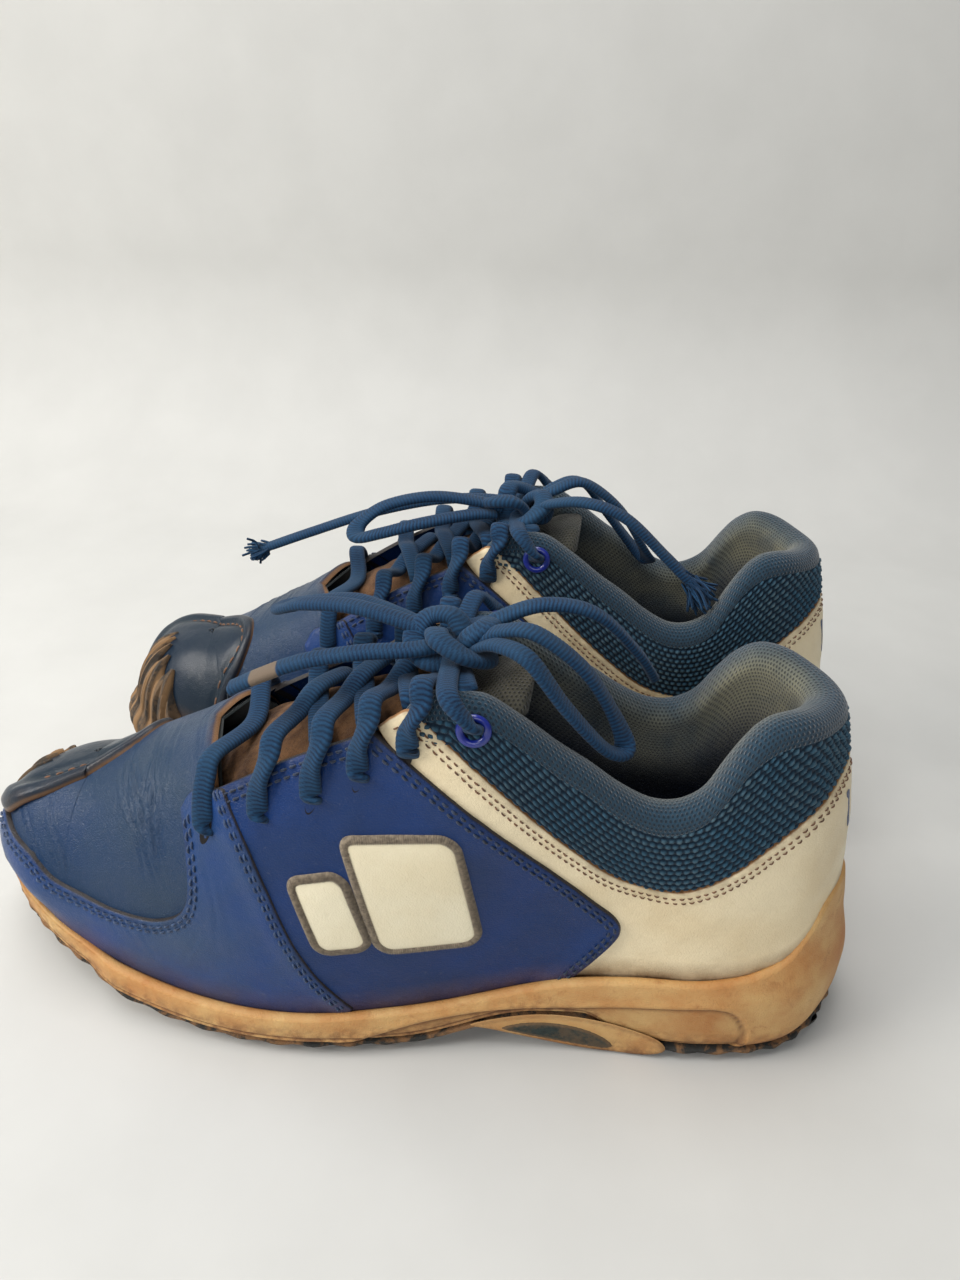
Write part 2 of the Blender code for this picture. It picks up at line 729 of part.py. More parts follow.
def make_side_panels(colours):
    for side, word in ((-1, "lateral"), (1, "medial")):
        mudguard = ribbed_panel(MUDGUARD_RIBS[side], side, 6, 2, end_gap=0.5)
        sheet("mudguard_" + word, mudguard, OVERLAY, colours["mudguard"])
        quarter = ribbed_panel(QUARTER_RIBS, side, 4, 2, end_gap=0.5)
        sheet("quarter_" + word, quarter, OVERLAY, colours["quarter"], swell(quarter))


def round_the_heel(ribs, across, back, low_gap=0.0, high_gap=0.0):
    """A panel from its outer front end, round the heel, to its inner front end."""
    table = []
    for side in (-1, 1):
        half = []
        for low_a, low_z, high_a, high_z in ribs:
            low_z = float(feather(low_a)) if low_z is None else low_z
            half.append([q_at(low_a, side), low_z, q_at(high_a, side), high_z])
        table.append(half)
    low_z = float(feather(UPPER_INSET)) if back[0] is None else back[0]
    rows = table[0] + [[0.0, low_z, 0.0, back[1]]] + table[1][::-1]
    return q_panel(np.array(rows), across, 1, low_gap, high_gap, 0.0)


def make_heel(colours):
    wrap = round_the_heel(STRAP_RIBS, 3, (None, 97.2), high_gap=0.5)
    sheet("heel_wrap", wrap, OVERLAY, colours["heel_wrap"], swell(wrap))
    cover = round_the_heel(COLLAR_RIBS, 3, (97.2, 115.6), low_gap=0.5)
    sheet("collar_cover", cover, COVER, colours["collar_cover"], swell(cover))
    foam = round_the_heel(FOAM_RIBS, 3, (65, 114.6))
    sheet("collar_foam", foam, COLLAR_FOAM, colours["collar_foam"], swell(foam) * 0.6)
    lining = round_the_heel(LINING_RIBS, 4, (None, 114.6))
    sheet("lining", lining, LINING, colours["lining"])
    counter = round_the_heel(COUNTER_RIBS, 2, (None, 60))
    sheet("heel_counter", counter, COUNTER, colours["heel_counter"])


def make_badges(colour):
    """A stepped pair of slanted bars in one patch, on each side of the shoe."""
    ribs = [(157, 58, 151, 74), (143, 53, 136, 76), (140, 47, 131, 84), (121, 45, 110, 81)]
    for side, word in ((-1, "lateral"), (1, "medial")):
        patch = ribbed_panel(ribs, side, 3, 2)
        sheet("badge_" + word, patch, PATCH, colour, swell(patch))


# ---------------------------------------------------------------- the tongue

TONGUE_LINE = [(96, 122), (108, 118), (120, 112.5), (138, 106.5), (152, 101.5), (166, 95),
               (178, 88.5), (190, 82.5)]
TONGUE_PIVOT = (186.0, 0.0, 82.0)


FACING_END, TONGUE_END = 126.0, 100.0  # how far back the suede face and the pad reach


def tongue_grid(drop, narrow, end):
    """The tongue's surface this far below its top and this much narrower, back to this a."""
    rows = []
    for a in np.linspace(187, end, 10):
        top = float(along(TONGUE_LINE, a))
        edges = []
        for side in (-1, 1):
            shell = wall(q_at(max(a, 119.0), side), min(top - 5, 106.0))
            edges.append(shell[1] - side * (3.4 + narrow))
        y = np.linspace(edges[0], edges[1], 5)
        z = top - 5.0 * (np.linspace(-1, 1, 5))**2 - drop
        rows.append(np.stack([np.full(5, a), y, z], 1))
    return np.array(rows)


def make_tongue(colours):
    solid_between("tongue_facing", tongue_grid(1.0, 0.0, FACING_END),
                  tongue_grid(0.0, 0.0, FACING_END), colours["tongue_facing"], TONGUE_PIVOT)
    solid_between("tongue_pad", tongue_grid(6.5, 1.0, TONGUE_END),
                  tongue_grid(1.5, 1.0, TONGUE_END), colours["tongue_pad"], TONGUE_PIVOT)


# ---------------------------------------------------------------- lace and eyelets

LACE_WIDTH, LACE_THICKNESS = 7.5, 3.0
TIED_WIDTH = 6.5  # the cord's width where it is free, in the loops and ends
LACE_LIFT = 3.3  # how far the cord's middle runs outside the upper
EYELET_AT = (112.5, 111.0)  # a and z of the ring on the collar
EYELET_LIFT = 3.8  # how much further out the lace runs at the ring
LACE_HOLES = [(185, 74), (170, 82), (155, 90), (142, 98.5), (128, 105)]
KNOT = (121.0, 0.0, 121.5)


def frame_along(path):
    """The level direction across a path and the direction square to both, at each point."""
    step = np.gradient(path, axis=0)
    step /= np.linalg.norm(step, axis=1)[:, None]
    flat = np.cross(step, np.broadcast_to([0.0, 0.0, 1.0], step.shape))
    flat /= np.maximum(np.linalg.norm(flat, axis=1), 1e-6)[:, None]
    return flat, np.cross(flat, step)


def strand(path, width=LACE_WIDTH, thickness=LACE_THICKNESS, closed=False):
    """Points and faces of a flat oval cord along a path."""
    path = np.array(path, float)
    flat, up = frame_along(path)
    section = [(width / 2, thickness / 2), (-width / 2, thickness / 2),
               (-width / 2, -thickness / 2), (width / 2, -thickness / 2)]
    size = len(section)
    points = []
    for k, point in enumerate(path):
        for w, h in section:
            points.append(point + flat[k] * w + up[k] * h)
    count = len(path)
    faces = []
    for k in range(count if closed else count - 1):
        after = (k + 1) % count
        for j in range(size):
            i = (j + 1) % size
            faces.append((k * size + j, k * size + i, after * size + i, after * size + j))
    if not closed:
        faces.append(tuple(range(size - 1, -1, -1)))
        faces.append(tuple(range((count - 1) * size, count * size)))
    return np.array(points), faces


def make_eyelets(colour):
    for side, word in ((-1, "lateral"), (1, "medial")):
        base = wall(q_at(EYELET_AT[0], side), EYELET_AT[1]).reshape(1, 3)
        normal = outward(base)[0]
        centre = base[0] + normal * (COVER[1] + float(swell(base)[0]) + 0.9)
        u = np.cross(normal, (0, 0, 1))
        u /= np.linalg.norm(u)
        v = np.cross(normal, u)
        profile = [(5.4, -0.3), (5.0, 1.0), (3.6, 1.0), (3.1, -0.3)]
        points, faces = [], []
        turns = 12
        for k in range(turns):
            angle = 2 * math.pi * k / turns
            out = u * math.cos(angle) + v * math.sin(angle)
            for radius, lift in profile:
                points.append(centre + out * radius + normal * lift)
        size = len(profile)
        for k in range(turns):
            after = (k + 1) % turns
            for j in range(size):
                i = (j + 1) % size
                faces.append((k * size + j, after * size + j, after * size + i, k * size + i))
        place("eyelet_" + word, points, faces, colour)


def on_upper(a, z, side, lift):
    """A point this far outside the upper's outer layer."""
    base = wall(q_at(a, side), z).reshape(1, 3)
    return (base + outward(base) * (OVERLAY[1] + swell(base) + lift)[:, None])[0]


FACING_LINE = [(112, 121), (119, 120), (130, 117), (139, 112), (152, 104.5), (166, 97), (178, 89.5),
               (188, 84)]


def row_path(start, end):
    """A lace's run from one eyelet, over the tongue, to the next eyelet on the other side."""
    halves = []
    for (near_hole, side), (far_hole, _) in ((start, end), (end, start)):
        extra = EYELET_LIFT if near_hole == EYELET_AT else 0.0
        edge_a = near_hole[0] * 0.8 + far_hole[0] * 0.2
        halves.append([on_upper(*near_hole, side, LACE_LIFT + extra),
                       on_upper(edge_a, along(FACING_LINE, edge_a), side, LACE_LIFT + 2.2)])
    middle = (start[0][0] + end[0][0]) / 2 - 2
    crossing = np.array([middle, 0.0, along(TONGUE_LINE, middle) + 9])
    return np.array([*halves[0], crossing, *halves[1][::-1]])


def union(parts):
    """One closed surface round several overlapping ones, as points and faces."""
    helpers = bpy.data.collections.new("union")
    objects = []
    for points, faces in parts:
        mesh = bpy.data.meshes.new("union")
        mesh.from_pydata(np.asarray(points).tolist(), [], faces)
        body = bmesh.new()
        body.from_mesh(mesh)
        bmesh.ops.recalc_face_normals(body, faces=body.faces)
        bmesh.ops.triangulate(body, faces=body.faces)
        body.to_mesh(mesh)
        body.free()
        objects.append(bpy.data.objects.new("union", mesh))
    first = objects[0]
    bpy.context.scene.collection.objects.link(first)
    for other in objects[1:]:
        helpers.objects.link(other)
    join = first.modifiers.new("join", "BOOLEAN")
    join.operation = "UNION"
    join.operand_type = "COLLECTION"
    join.collection = helpers
    bpy.context.view_layer.update()
    graph = bpy.context.evaluated_depsgraph_get()
    mesh = first.evaluated_get(graph).to_mesh()
    points = [tuple(v.co) for v in mesh.vertices]
    faces = [tuple(p.vertices) for p in mesh.polygons]
    for obj in objects:
        bpy.data.objects.remove(obj)
    bpy.data.collections.remove(helpers)
    return points, faces


def lump(centre, size):
    """A faceted ball stretched to this size, which stands for the knot."""
    body = bmesh.new()
    bmesh.ops.create_icosphere(body, subdivisions=2, radius=1.0)
    points = [np.array(v.co) * size + centre for v in body.verts]
    faces = [tuple(v.index for v in f.verts) for f in body.faces]
    body.free()
    return points, faces


def make_lace(colour):
    holes = LACE_HOLES + [EYELET_AT]
    parts = [strand(row_path((holes[0], -1), (holes[0], 1)))]
    for k in range(len(holes) - 1):
        parts.append(strand(row_path((holes[k], -1), (holes[k + 1], 1))))
        parts.append(strand(row_path((holes[k], 1), (holes[k + 1], -1))))
    for side in (-1, 1):
        ring_point = on_upper(*EYELET_AT, side, 3.0 + EYELET_LIFT)
        rim = on_upper(118, 118.4, side, 0.0) + (0, 0, 5.5)
        parts.append(strand(catmull([ring_point, rim, KNOT], 2)))
    parts.append(lump(np.array(KNOT), np.array([10.0, 9.0, 6.0])))
    place("lace", *union(parts), colour)


# The free parts of the tied lace, as points of their middle line; a loop is a closed line.
LOOP_A = [(133, 3, 125), (150, 6, 128), (166, 10, 125), (175, 16, 119), (172, 22, 118),
          (153, 19, 122), (135, 11, 123)]
LOOP_B = [(110, -3, 129), (99, -6, 131), (86, -7, 121), (77, -8, 107), (75, -12, 100),
          (80, -15, 103), (90, -16, 116), (100, -15, 129), (110, -10, 129)]
END_A = {"left_": [(133, -6, 122.5), (146, -8, 121.5), (161, -10, 118), (178, -12, 112)],
         "right_": [(133, -6, 122.5), (152, -7, 120.5), (176, -7, 114), (200, -6, 105), (222, -5, 96)]}
END_B = {"left_": [(110, 6, 127), (98, 10, 130), (84, 12, 127), (72, 15, 114), (66, 17, 104)],
         "right_": [(110, 6, 127), (98, 10, 130), (84, 12, 126), (70, 14, 114), (58, 16, 104)]}


def make_bow(colour):
    for name, line in (("bow_loop_a", LOOP_A), ("bow_loop_b", LOOP_B)):
        cord = strand(catmull(line, 2, closed=True), TIED_WIDTH, LACE_THICKNESS, closed=True)
        place(name, *cord, colour, KNOT)
    for name, lines in (("lace_end_a", END_A), ("lace_end_b", END_B)):
        for shoe in (LEFT, RIGHT):
            cord = strand(catmull(lines[shoe[1]], 3), TIED_WIDTH, LACE_THICKNESS)
            place(name, *cord, colour, KNOT, (shoe,))


# ---------------------------------------------------------------- the pair

COLOURS = {
    "outsole": ((0.035, 0.035, 0.032), 0.85),
    "midsole": ((0.62, 0.40, 0.19), 0.7),
    "shank_plate": ((0.03, 0.07, 0.07), 0.5),
    "toe_bumper": ((0.22, 0.14, 0.07), 0.8),
    "insole_board": ((0.7, 0.66, 0.55), 0.9),
    "footbed": ((0.10, 0.13, 0.20), 0.9),
    "toe_cap": ((0.02, 0.06, 0.14), 0.3),
    "toe_puff": ((0.6, 0.58, 0.5), 0.9),
    "vamp": ((0.04, 0.09, 0.20), 0.5),
    "vamp_lining": ((0.12, 0.13, 0.13), 0.95),
    "mudguard": ((0.025, 0.07, 0.25), 0.45),
    "quarter": ((0.013, 0.05, 0.27), 0.4),
    "heel_wrap": ((0.72, 0.66, 0.52), 0.45),
    "heel_counter": ((0.6, 0.58, 0.5), 0.8),
    "collar_cover": ((0.03, 0.08, 0.13), 0.95),
    "collar_foam": ((0.75, 0.7, 0.4), 1.0),
    "lining": ((0.12, 0.14, 0.13), 0.95),
    "tongue_pad": ((0.06, 0.07, 0.08), 0.95),
    "tongue_facing": ((0.2, 0.13, 0.07), 0.95),
    "eyelet": ((0.02, 0.04, 0.40), 0.3),
    "lace": ((0.02, 0.07, 0.22), 0.9),
    "badge": ((0.8, 0.76, 0.62), 0.5),
}


def clear_scene():
    for obj in list(bpy.data.objects):
        bpy.data.objects.remove(obj, do_unlink=True)


def main():
    clear_scene()
    make_outsole(COLOURS["outsole"])
    make_midsole(COLOURS["midsole"])
    make_shank_plate(COLOURS["shank_plate"])
    make_toe_bumper(COLOURS["toe_bumper"])
    make_insole_board(COLOURS["insole_board"])
    make_footbed(COLOURS["footbed"])
    make_forefoot(COLOURS)
    make_toe_cap(COLOURS["toe_cap"])
    make_side_panels(COLOURS)
    make_heel(COLOURS)
    make_badges(COLOURS["badge"])
    make_tongue(COLOURS)
    make_eyelets(COLOURS["eyelet"])
    make_lace(COLOURS["lace"])
    make_bow(COLOURS["lace"])


main()
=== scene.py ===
"""Looks for a pair of low-cut lace-up turf trainers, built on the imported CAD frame."""

import math

import bpy
import numpy as np
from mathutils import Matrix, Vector
from mathutils.geometry import delaunay_2d_cdt


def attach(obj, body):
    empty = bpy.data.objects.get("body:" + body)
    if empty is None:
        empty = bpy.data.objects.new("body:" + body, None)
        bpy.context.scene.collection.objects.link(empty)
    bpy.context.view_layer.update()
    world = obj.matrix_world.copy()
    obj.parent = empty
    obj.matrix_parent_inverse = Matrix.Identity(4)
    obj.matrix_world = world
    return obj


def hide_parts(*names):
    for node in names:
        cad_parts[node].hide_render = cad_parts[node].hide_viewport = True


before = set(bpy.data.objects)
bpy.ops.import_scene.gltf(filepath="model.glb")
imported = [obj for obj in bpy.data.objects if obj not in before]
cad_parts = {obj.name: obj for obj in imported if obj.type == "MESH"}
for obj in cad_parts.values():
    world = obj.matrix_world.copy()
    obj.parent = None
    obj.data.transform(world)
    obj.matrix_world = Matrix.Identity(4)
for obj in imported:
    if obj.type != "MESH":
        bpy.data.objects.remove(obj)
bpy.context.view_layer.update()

# Shoe geometry is worked out in "last" coordinates, in millimetres: a runs from the back of the
# heel to the toe, y is negative on the outer side of the foot, z is up from the ground.
MM = 0.001

# Driving dimensions, in millimetres, the same as in part.py.
LENGTH = 280.0
SHOE_SPACING = 89.5  # between the two heel centre lines
SHOE_STAGGER = 8.0  # how far the right shoe stands behind the left one
GAP = 0.35  # clearance between neighbouring solids

LUG_HEIGHT = 3.0
OUTSOLE_PLATE = 2.0
SHANK_THICKNESS = 1.4
TOE_SPRING = 18.0
ARCH_RISE = 10.0
BALL_START = 168.0  # the sole leaves the ground in front of this
UPPER_INSET = 9.9  # from the sole's outline to the inside of the lining
GIRTH = 300.0  # the upper's length round one side, from heel to toe
BOARD_THICKNESS = 1.2
TOP_OF_LEATHER = 4.9  # from the inside of the lining, where one panel lies on another

HEEL_POLE = (36.0, 0.0)
TOE_POLE = (238.0, 6.0)
HEEL_LEAN = 9.0  # how far the heel's wall leans forward at the collar
COLLAR_SWELL = 3.0  # how far the collar's padding stands proud

SHOES = ((-1, "left_"), (1, "right_"))
FLANKS = ((-1, "lateral"), (1, "medial"))  # the outer and the inner side of each shoe

# The sole's outline seen from above, as (a, y): the outer side, then the inner side back.
OUTER_SIDE = [(0, 0), (6, -15), (19, -27.5), (43, -33.5), (73, -34), (100, -36), (133, -42.5),
              (163, -47.5), (195, -46.5), (230, -39), (254, -28.5), (272, -14)]
INNER_SIDE = [(280, 5), (275, 21), (258, 34.5), (230, 41.5), (192, 42.5), (150, 37),
              (105, 31.5), (60, 32.5), (24, 29), (6, 16)]

# Heights along the shoe, as (a, z).
PLATFORM_LINE = [(0, 20), (60, 20), (90, 18.5), (130, 13), (165, 9.5), (280, 9.5)]
LIP_LINE = [(0, 56), (8, 54), (16, 44), (22, 37), (30, 33), (42, 30.5), (66, 29), (82, 27),
            (95, 24), (121, 18), (148, 15), (168, 14.3), (280, 14.3)]
RIDGE_LINE = [(36, 135), (112, 135), (128, 126), (140, 121), (150, 116), (166, 106),
              (178, 98), (192, 87), (205, 79), (223, 69), (238, 62)]
SQUARENESS = [(36, 4.0), (118, 4.0), (135, 3.6), (150, 2.9), (178, 2.8), (195, 2.6), (238, 2.3)]


# ---------------------------------------------------------------- curves and surfaces

def along(line, at):
    """A height read from a list of (position, value) points, eased between them."""
    xs, ys = np.array(line, float).T
    slope = np.gradient(ys, xs)
    at = np.clip(np.asarray(at, float), xs[0], xs[-1])
    i = np.clip(np.searchsorted(xs, at) - 1, 0, len(xs) - 2)
    span = xs[i + 1] - xs[i]
    t = (at - xs[i]) / span
    rise = ys[i + 1] - ys[i]
    start = np.clip(slope[i] * span, -3 * abs(rise), 3 * abs(rise))
    end = np.clip(slope[i + 1] * span, -3 * abs(rise), 3 * abs(rise))
    return ((2 * t**3 - 3 * t**2 + 1) * ys[i] + (t**3 - 2 * t**2 + t) * start
            + (3 * t**2 - 2 * t**3) * ys[i + 1] + (t**3 - t**2) * end)


def smoothstep(low, high, at):
    t = np.clip((np.asarray(at, float) - low) / (high - low), 0, 1)
    return t * t * (3 - 2 * t)


def hump(at, middle, width, power=2):
    """1 at the middle, falling off on both sides over about this width."""
    return np.exp(-((at - middle) / width)**power)


def rounded(distance, radius):
    """Rises from 0 at an edge to 1 at this distance inside it, like a rounded edge."""
    t = np.clip(distance / radius, 0, 1)
    return np.sqrt(np.clip(1 - (1 - t)**2, 0, 1))


def unit(vectors):
    return vectors / np.linalg.norm(vectors, axis=-1, keepdims=True)


def travelled(curve):
    """The distance along a curve at each of its points."""
    return np.concatenate([[0], np.cumsum(np.linalg.norm(np.diff(curve, axis=0), axis=1))])


def round_angles(count):
    return np.arange(count) / count * 2 * math.pi


def squared(value, power):
    """A sine or cosine pushed towards a squarer wave, with its sign kept."""
    return np.sign(value) * np.abs(value)**power


def catmull(points, steps, closed=False):
    """A smooth curve through the points, with this many steps between two of them."""
    p = np.array(points, float)
    if closed:
        p = np.vstack([p[-1], p, p[0], p[1]])
    else:
        p = np.vstack([2 * p[0] - p[1], p, 2 * p[-1] - p[-2]])
    out = []
    for i in range(1, len(p) - 2):
        for t in np.arange(steps) / steps:
            m0 = (p[i + 1] - p[i - 1]) / 2
            m1 = (p[i + 2] - p[i]) / 2
            out.append((2 * t**3 - 3 * t**2 + 1) * p[i] + (t**3 - 2 * t**2 + t) * m0
                       + (3 * t**2 - 2 * t**3) * p[i + 1] + (t**3 - t**2) * m1)
    if not closed:
        out.append(p[-2])
    return np.array(out)


OUTLINE = catmull(OUTER_SIDE + INNER_SIDE, 40, closed=True)
TIP = int(np.argmax(OUTLINE[:, 0]))


def inset_outline(distance):
    """The sole's outline moved inwards, as dense (a, y) points starting at the heel."""
    step = unit(np.roll(OUTLINE, -1, 0) - np.roll(OUTLINE, 1, 0))
    return OUTLINE + np.stack([-step[:, 1], step[:, 0]], 1) * distance


def sides(distance):
    """The inset outline as two curves from the heel to the toe: outer side and inner side."""
    ring = inset_outline(distance)
    return ring[:TIP + 1], np.vstack([ring[TIP:], ring[:1]])[::-1]


def resample(curve, fractions):
    length = travelled(curve)
    want = np.asarray(fractions, float) * length[-1]
    return np.stack([np.interp(want, length, curve[:, k]) for k in range(curve.shape[1])], 1)


def spring(a):
    return TOE_SPRING * np.clip((np.asarray(a, float) - BALL_START) / (LENGTH - BALL_START), 0, 1.1)**1.9


def base_height(a):
    """The underside of the outsole's plate, above the lugs."""
    arch = ARCH_RISE * smoothstep(64, 80, a) * (1 - smoothstep(92, 134, a))
    heel = 4.5 * np.clip((22 - np.asarray(a, float)) / 22, 0, 1)**1.6
    return LUG_HEIGHT + spring(a) + arch + heel


def platform(a):
    return along(PLATFORM_LINE, a) + spring(a)


def lip(a):
    return along(LIP_LINE, a) + spring(a)


def feather(a):
    """The bottom edge of the upper, which clears the platform's rise towards the toe."""
    return platform(a) + 0.6 + 2.4 * smoothstep(196, 262, a)


UPPER_OUTER, UPPER_INNER = sides(UPPER_INSET)
UPPER_RING = inset_outline(UPPER_INSET)
UPPER_FEET = ((-1, UPPER_OUTER), (1, UPPER_INNER))


def axis_point(a):
    """The point on the shoe's spine that the wall at a leans towards."""
    along_spine = np.clip(a, HEEL_POLE[0], TOE_POLE[0])
    across = TOE_POLE[1] * smoothstep(150, TOE_POLE[0], along_spine)
    return along_spine, across


def pole_radius(pole, angle):
    around = UPPER_RING - np.array(pole)
    angles = np.arctan2(around[:, 1], around[:, 0])
    order = np.argsort(angles)
    return np.interp(angle, angles[order], np.linalg.norm(around, axis=1)[order], period=2 * math.pi)


def reach(a, y):
    """How far (a, y) lies from the spine towards the outline, from 0 to 1, and its spine point."""
    a = np.asarray(a, float)
    y = np.asarray(y, float)
    spine, across = axis_point(a)
    outer = np.abs(np.interp(spine, UPPER_OUTER[:, 0], UPPER_OUTER[:, 1]) - across)
    inner = np.abs(np.interp(spine, UPPER_INNER[:, 0], UPPER_INNER[:, 1]) - across)
    middle = np.abs(y - across) / np.where(y < across, outer, inner)
    fan = middle
    for pole, beyond in ((HEEL_POLE, a < HEEL_POLE[0]), (TOE_POLE, a > TOE_POLE[0])):
        da = a - pole[0]
        dy = y - pole[1]
        polar = np.hypot(da, dy) / pole_radius(pole, np.arctan2(dy, da))
        fan = np.where(beyond, polar, fan)
    return fan, spine


def lean(a, z):
    """How far the heel's wall is shifted forwards at height z."""
    return HEEL_LEAN * smoothstep(40, 115, z) * (1 - smoothstep(24, 90, a))


def level(a, y, z):
    """Zero on the inside of the lining, positive outside it."""
    a = a - lean(a - HEEL_LEAN / 2, z)
    p, spine = reach(a, y)
    low = feather(a)
    h = np.clip((z - low) / (along(RIDGE_LINE, spine) - low), 0, 2)
    return p**along(SQUARENESS, spine) + h**2 - 1


def outward(points):
    """Unit normals of the upper at points near its surface."""
    step = 0.4
    a, y, z = points.T
    slope = np.stack([level(a + step, y, z) - level(a - step, y, z),
                      level(a, y + step, z) - level(a, y - step, z),
                      level(a, y, z + step) - level(a, y, z - step)], 1)
    return unit(slope)


def crown(a, y):
    """Points of the upper straight above the plan positions (a, y)."""
    p, spine = reach(a, y)
    low = feather(a)
    h = np.sqrt(np.clip(1 - p**along(SQUARENESS, spine), 0, 1))
    return np.stack([a, y, low + (along(RIDGE_LINE, spine) - low) * h], -1)


def wall(q, z):
    """Points of the upper at height z. q runs 0 to 1 from heel to toe, and is negative outside."""
    q, z = np.broadcast_arrays(np.asarray(q, float), np.asarray(z, float))
    foot = np.where((q < 0)[..., None], side_point(UPPER_OUTER, np.abs(q)),
                    side_point(UPPER_INNER, np.abs(q)))
    spine, across = axis_point(foot[..., 0])
    low = feather(foot[..., 0])
    h = np.clip((z - low) / (along(RIDGE_LINE, spine) - low), 0, 0.995)
    p = (1 - h**2)**(1 / along(SQUARENESS, spine))
    centre = np.stack([spine, across], -1)
    plan = centre + (foot - centre) * p[..., None]
    plan[..., 0] += lean(plan[..., 0], z)
    return np.concatenate([plan, z[..., None]], -1)


def side_point(curve, fraction):
    flat = resample(curve, np.ravel(fraction))
    return flat.reshape(np.shape(fraction) + (2,))


def q_at(a, side):
    """The q of the wall whose foot is at a, on the outer (-1) or the inner (+1) side."""
    curve = UPPER_OUTER if side < 0 else UPPER_INNER
    length = travelled(curve)
    return side * np.interp(a, curve[:, 0], length / length[-1])


def to_world(points, side):
    """Last coordinates (mm) to world metres. side is -1 for the left shoe, 1 for the right."""
    p = np.asarray(points, float)
    x = LENGTH / 2 - p[..., 0] + side * SHOE_STAGGER / 2
    y = -side * p[..., 1] + side * SHOE_SPACING / 2
    return np.stack([x, y, p[..., 2]], -1) * MM


def recess(a):
    """The hollow under the midsole that holds the shank plate."""
    return (SHANK_THICKNESS + 2 * GAP) * smoothstep(56, 66, a) * (1 - smoothstep(124, 136, a))


def midsole_bottom(a):
    return base_height(a) + OUTSOLE_PLATE + GAP + recess(a)


def toe_cut(a):
    """How much further in the midsole stays where the toe bumper wraps it."""
    return 3.0 * smoothstep(222, 238, a)


def swell(grid):
    """The collar's padding, which fades out towards the toe and towards the sole."""
    a, z = grid[..., 0], grid[..., 2]
    return COLLAR_SWELL * smoothstep(52, 90, z) * (1 - smoothstep(104, 140, a))


# ---------------------------------------------------------------- shader nodes

class Looks:
    """A Principled material under construction, with short ways to add and join nodes."""

    def __init__(self, name):
        self.material = bpy.data.materials.new(name)
        self.material.use_nodes = True
        self.tree = self.material.node_tree
        self.surface = self.tree.nodes["Principled BSDF"]

    def add(self, kind, settings=None, **values):
        made = self.tree.nodes.new(kind)
        for key, value in (settings or {}).items():
            setattr(made, key, value)
        for key, value in values.items():
            self.put(made.inputs[key.replace("_", " ")], value)
        return made

    def put(self, socket, value):
        if isinstance(value, bpy.types.NodeSocket):
            self.tree.links.new(value, socket)
        else:
            socket.default_value = value

    def math(self, operation, first, second=0.0, clamp=False):
        made = self.tree.nodes.new("ShaderNodeMath")
        made.operation = operation
        made.use_clamp = clamp
        self.put(made.inputs[0], first)
        self.put(made.inputs[1], second)
        return made.outputs[0]

    def times(self, first, second, clamp=False):
        return self.math("MULTIPLY", first, second, clamp)

    def mix(self, factor, first, second):
        made = self.tree.nodes.new("ShaderNodeMix")
        made.data_type = "RGBA"
        self.put(made.inputs[0], factor)
        for index, value in ((6, first), (7, second)):
            if not isinstance(value, bpy.types.NodeSocket):
                value = (*value, 1.0)
            self.put(made.inputs[index], value)
        return made.outputs[2]

    def place(self):
        """The piece's own coordinates, in millimetres."""
        at = self.add("ShaderNodeTexCoord").outputs["Object"]
        return self.add("ShaderNodeVectorMath", {"operation": "SCALE"}, Vector=at, Scale=1000.0).outputs[0]

    def given(self, name, output="Fac"):
        """A value that the mesh carries at each vertex."""
        return self.add("ShaderNodeAttribute", {"attribute_name": name}).outputs[output]

    def noise(self, scale, detail=4.0, rough=0.55, warp=0.0):
        made = self.add("ShaderNodeTexNoise", Vector=self.place(), Scale=scale, Detail=detail,
                        Roughness=rough, Distortion=warp)
        return made.outputs["Fac"]

    def cells(self, scale, feature="F1"):
        made = self.add("ShaderNodeTexVoronoi", {"feature": feature}, Vector=self.place(),
                        Scale=scale)
        return made.outputs["Distance"]

    def span(self, value, low, high):
        """0 at the low value, 1 at the high one, and held between them outside."""
        made = self.add("ShaderNodeMapRange", Value=value)
        made.inputs[1].default_value = low
        made.inputs[2].default_value = high
        return made.outputs[0]

    def bump(self, height, distance, strength=1.0, under=None):
        made = self.add("ShaderNodeBump", Height=height, Distance=distance * MM, Strength=strength)
        if under is not None:
            self.put(made.inputs["Normal"], under)
        return made.outputs[0]

    def finish(self, colour, roughness, normal=None, **more):
        self.put(self.surface.inputs["Base Color"],
                 colour if isinstance(colour, bpy.types.NodeSocket) else (*colour, 1.0))
        self.put(self.surface.inputs["Roughness"], roughness)
        if normal is not None:
            self.put(self.surface.inputs["Normal"], normal)
        for key, value in more.items():
            self.put(self.surface.inputs[key.replace("_", " ")], value)
        return self.material


def srgb(r, g, b):
    """An 8-bit screen colour as linear light."""
    return tuple(((c / 255 + 0.055) / 1.055)**2.4 if c > 10 else c / 255 / 12.92 for c in (r, g, b))


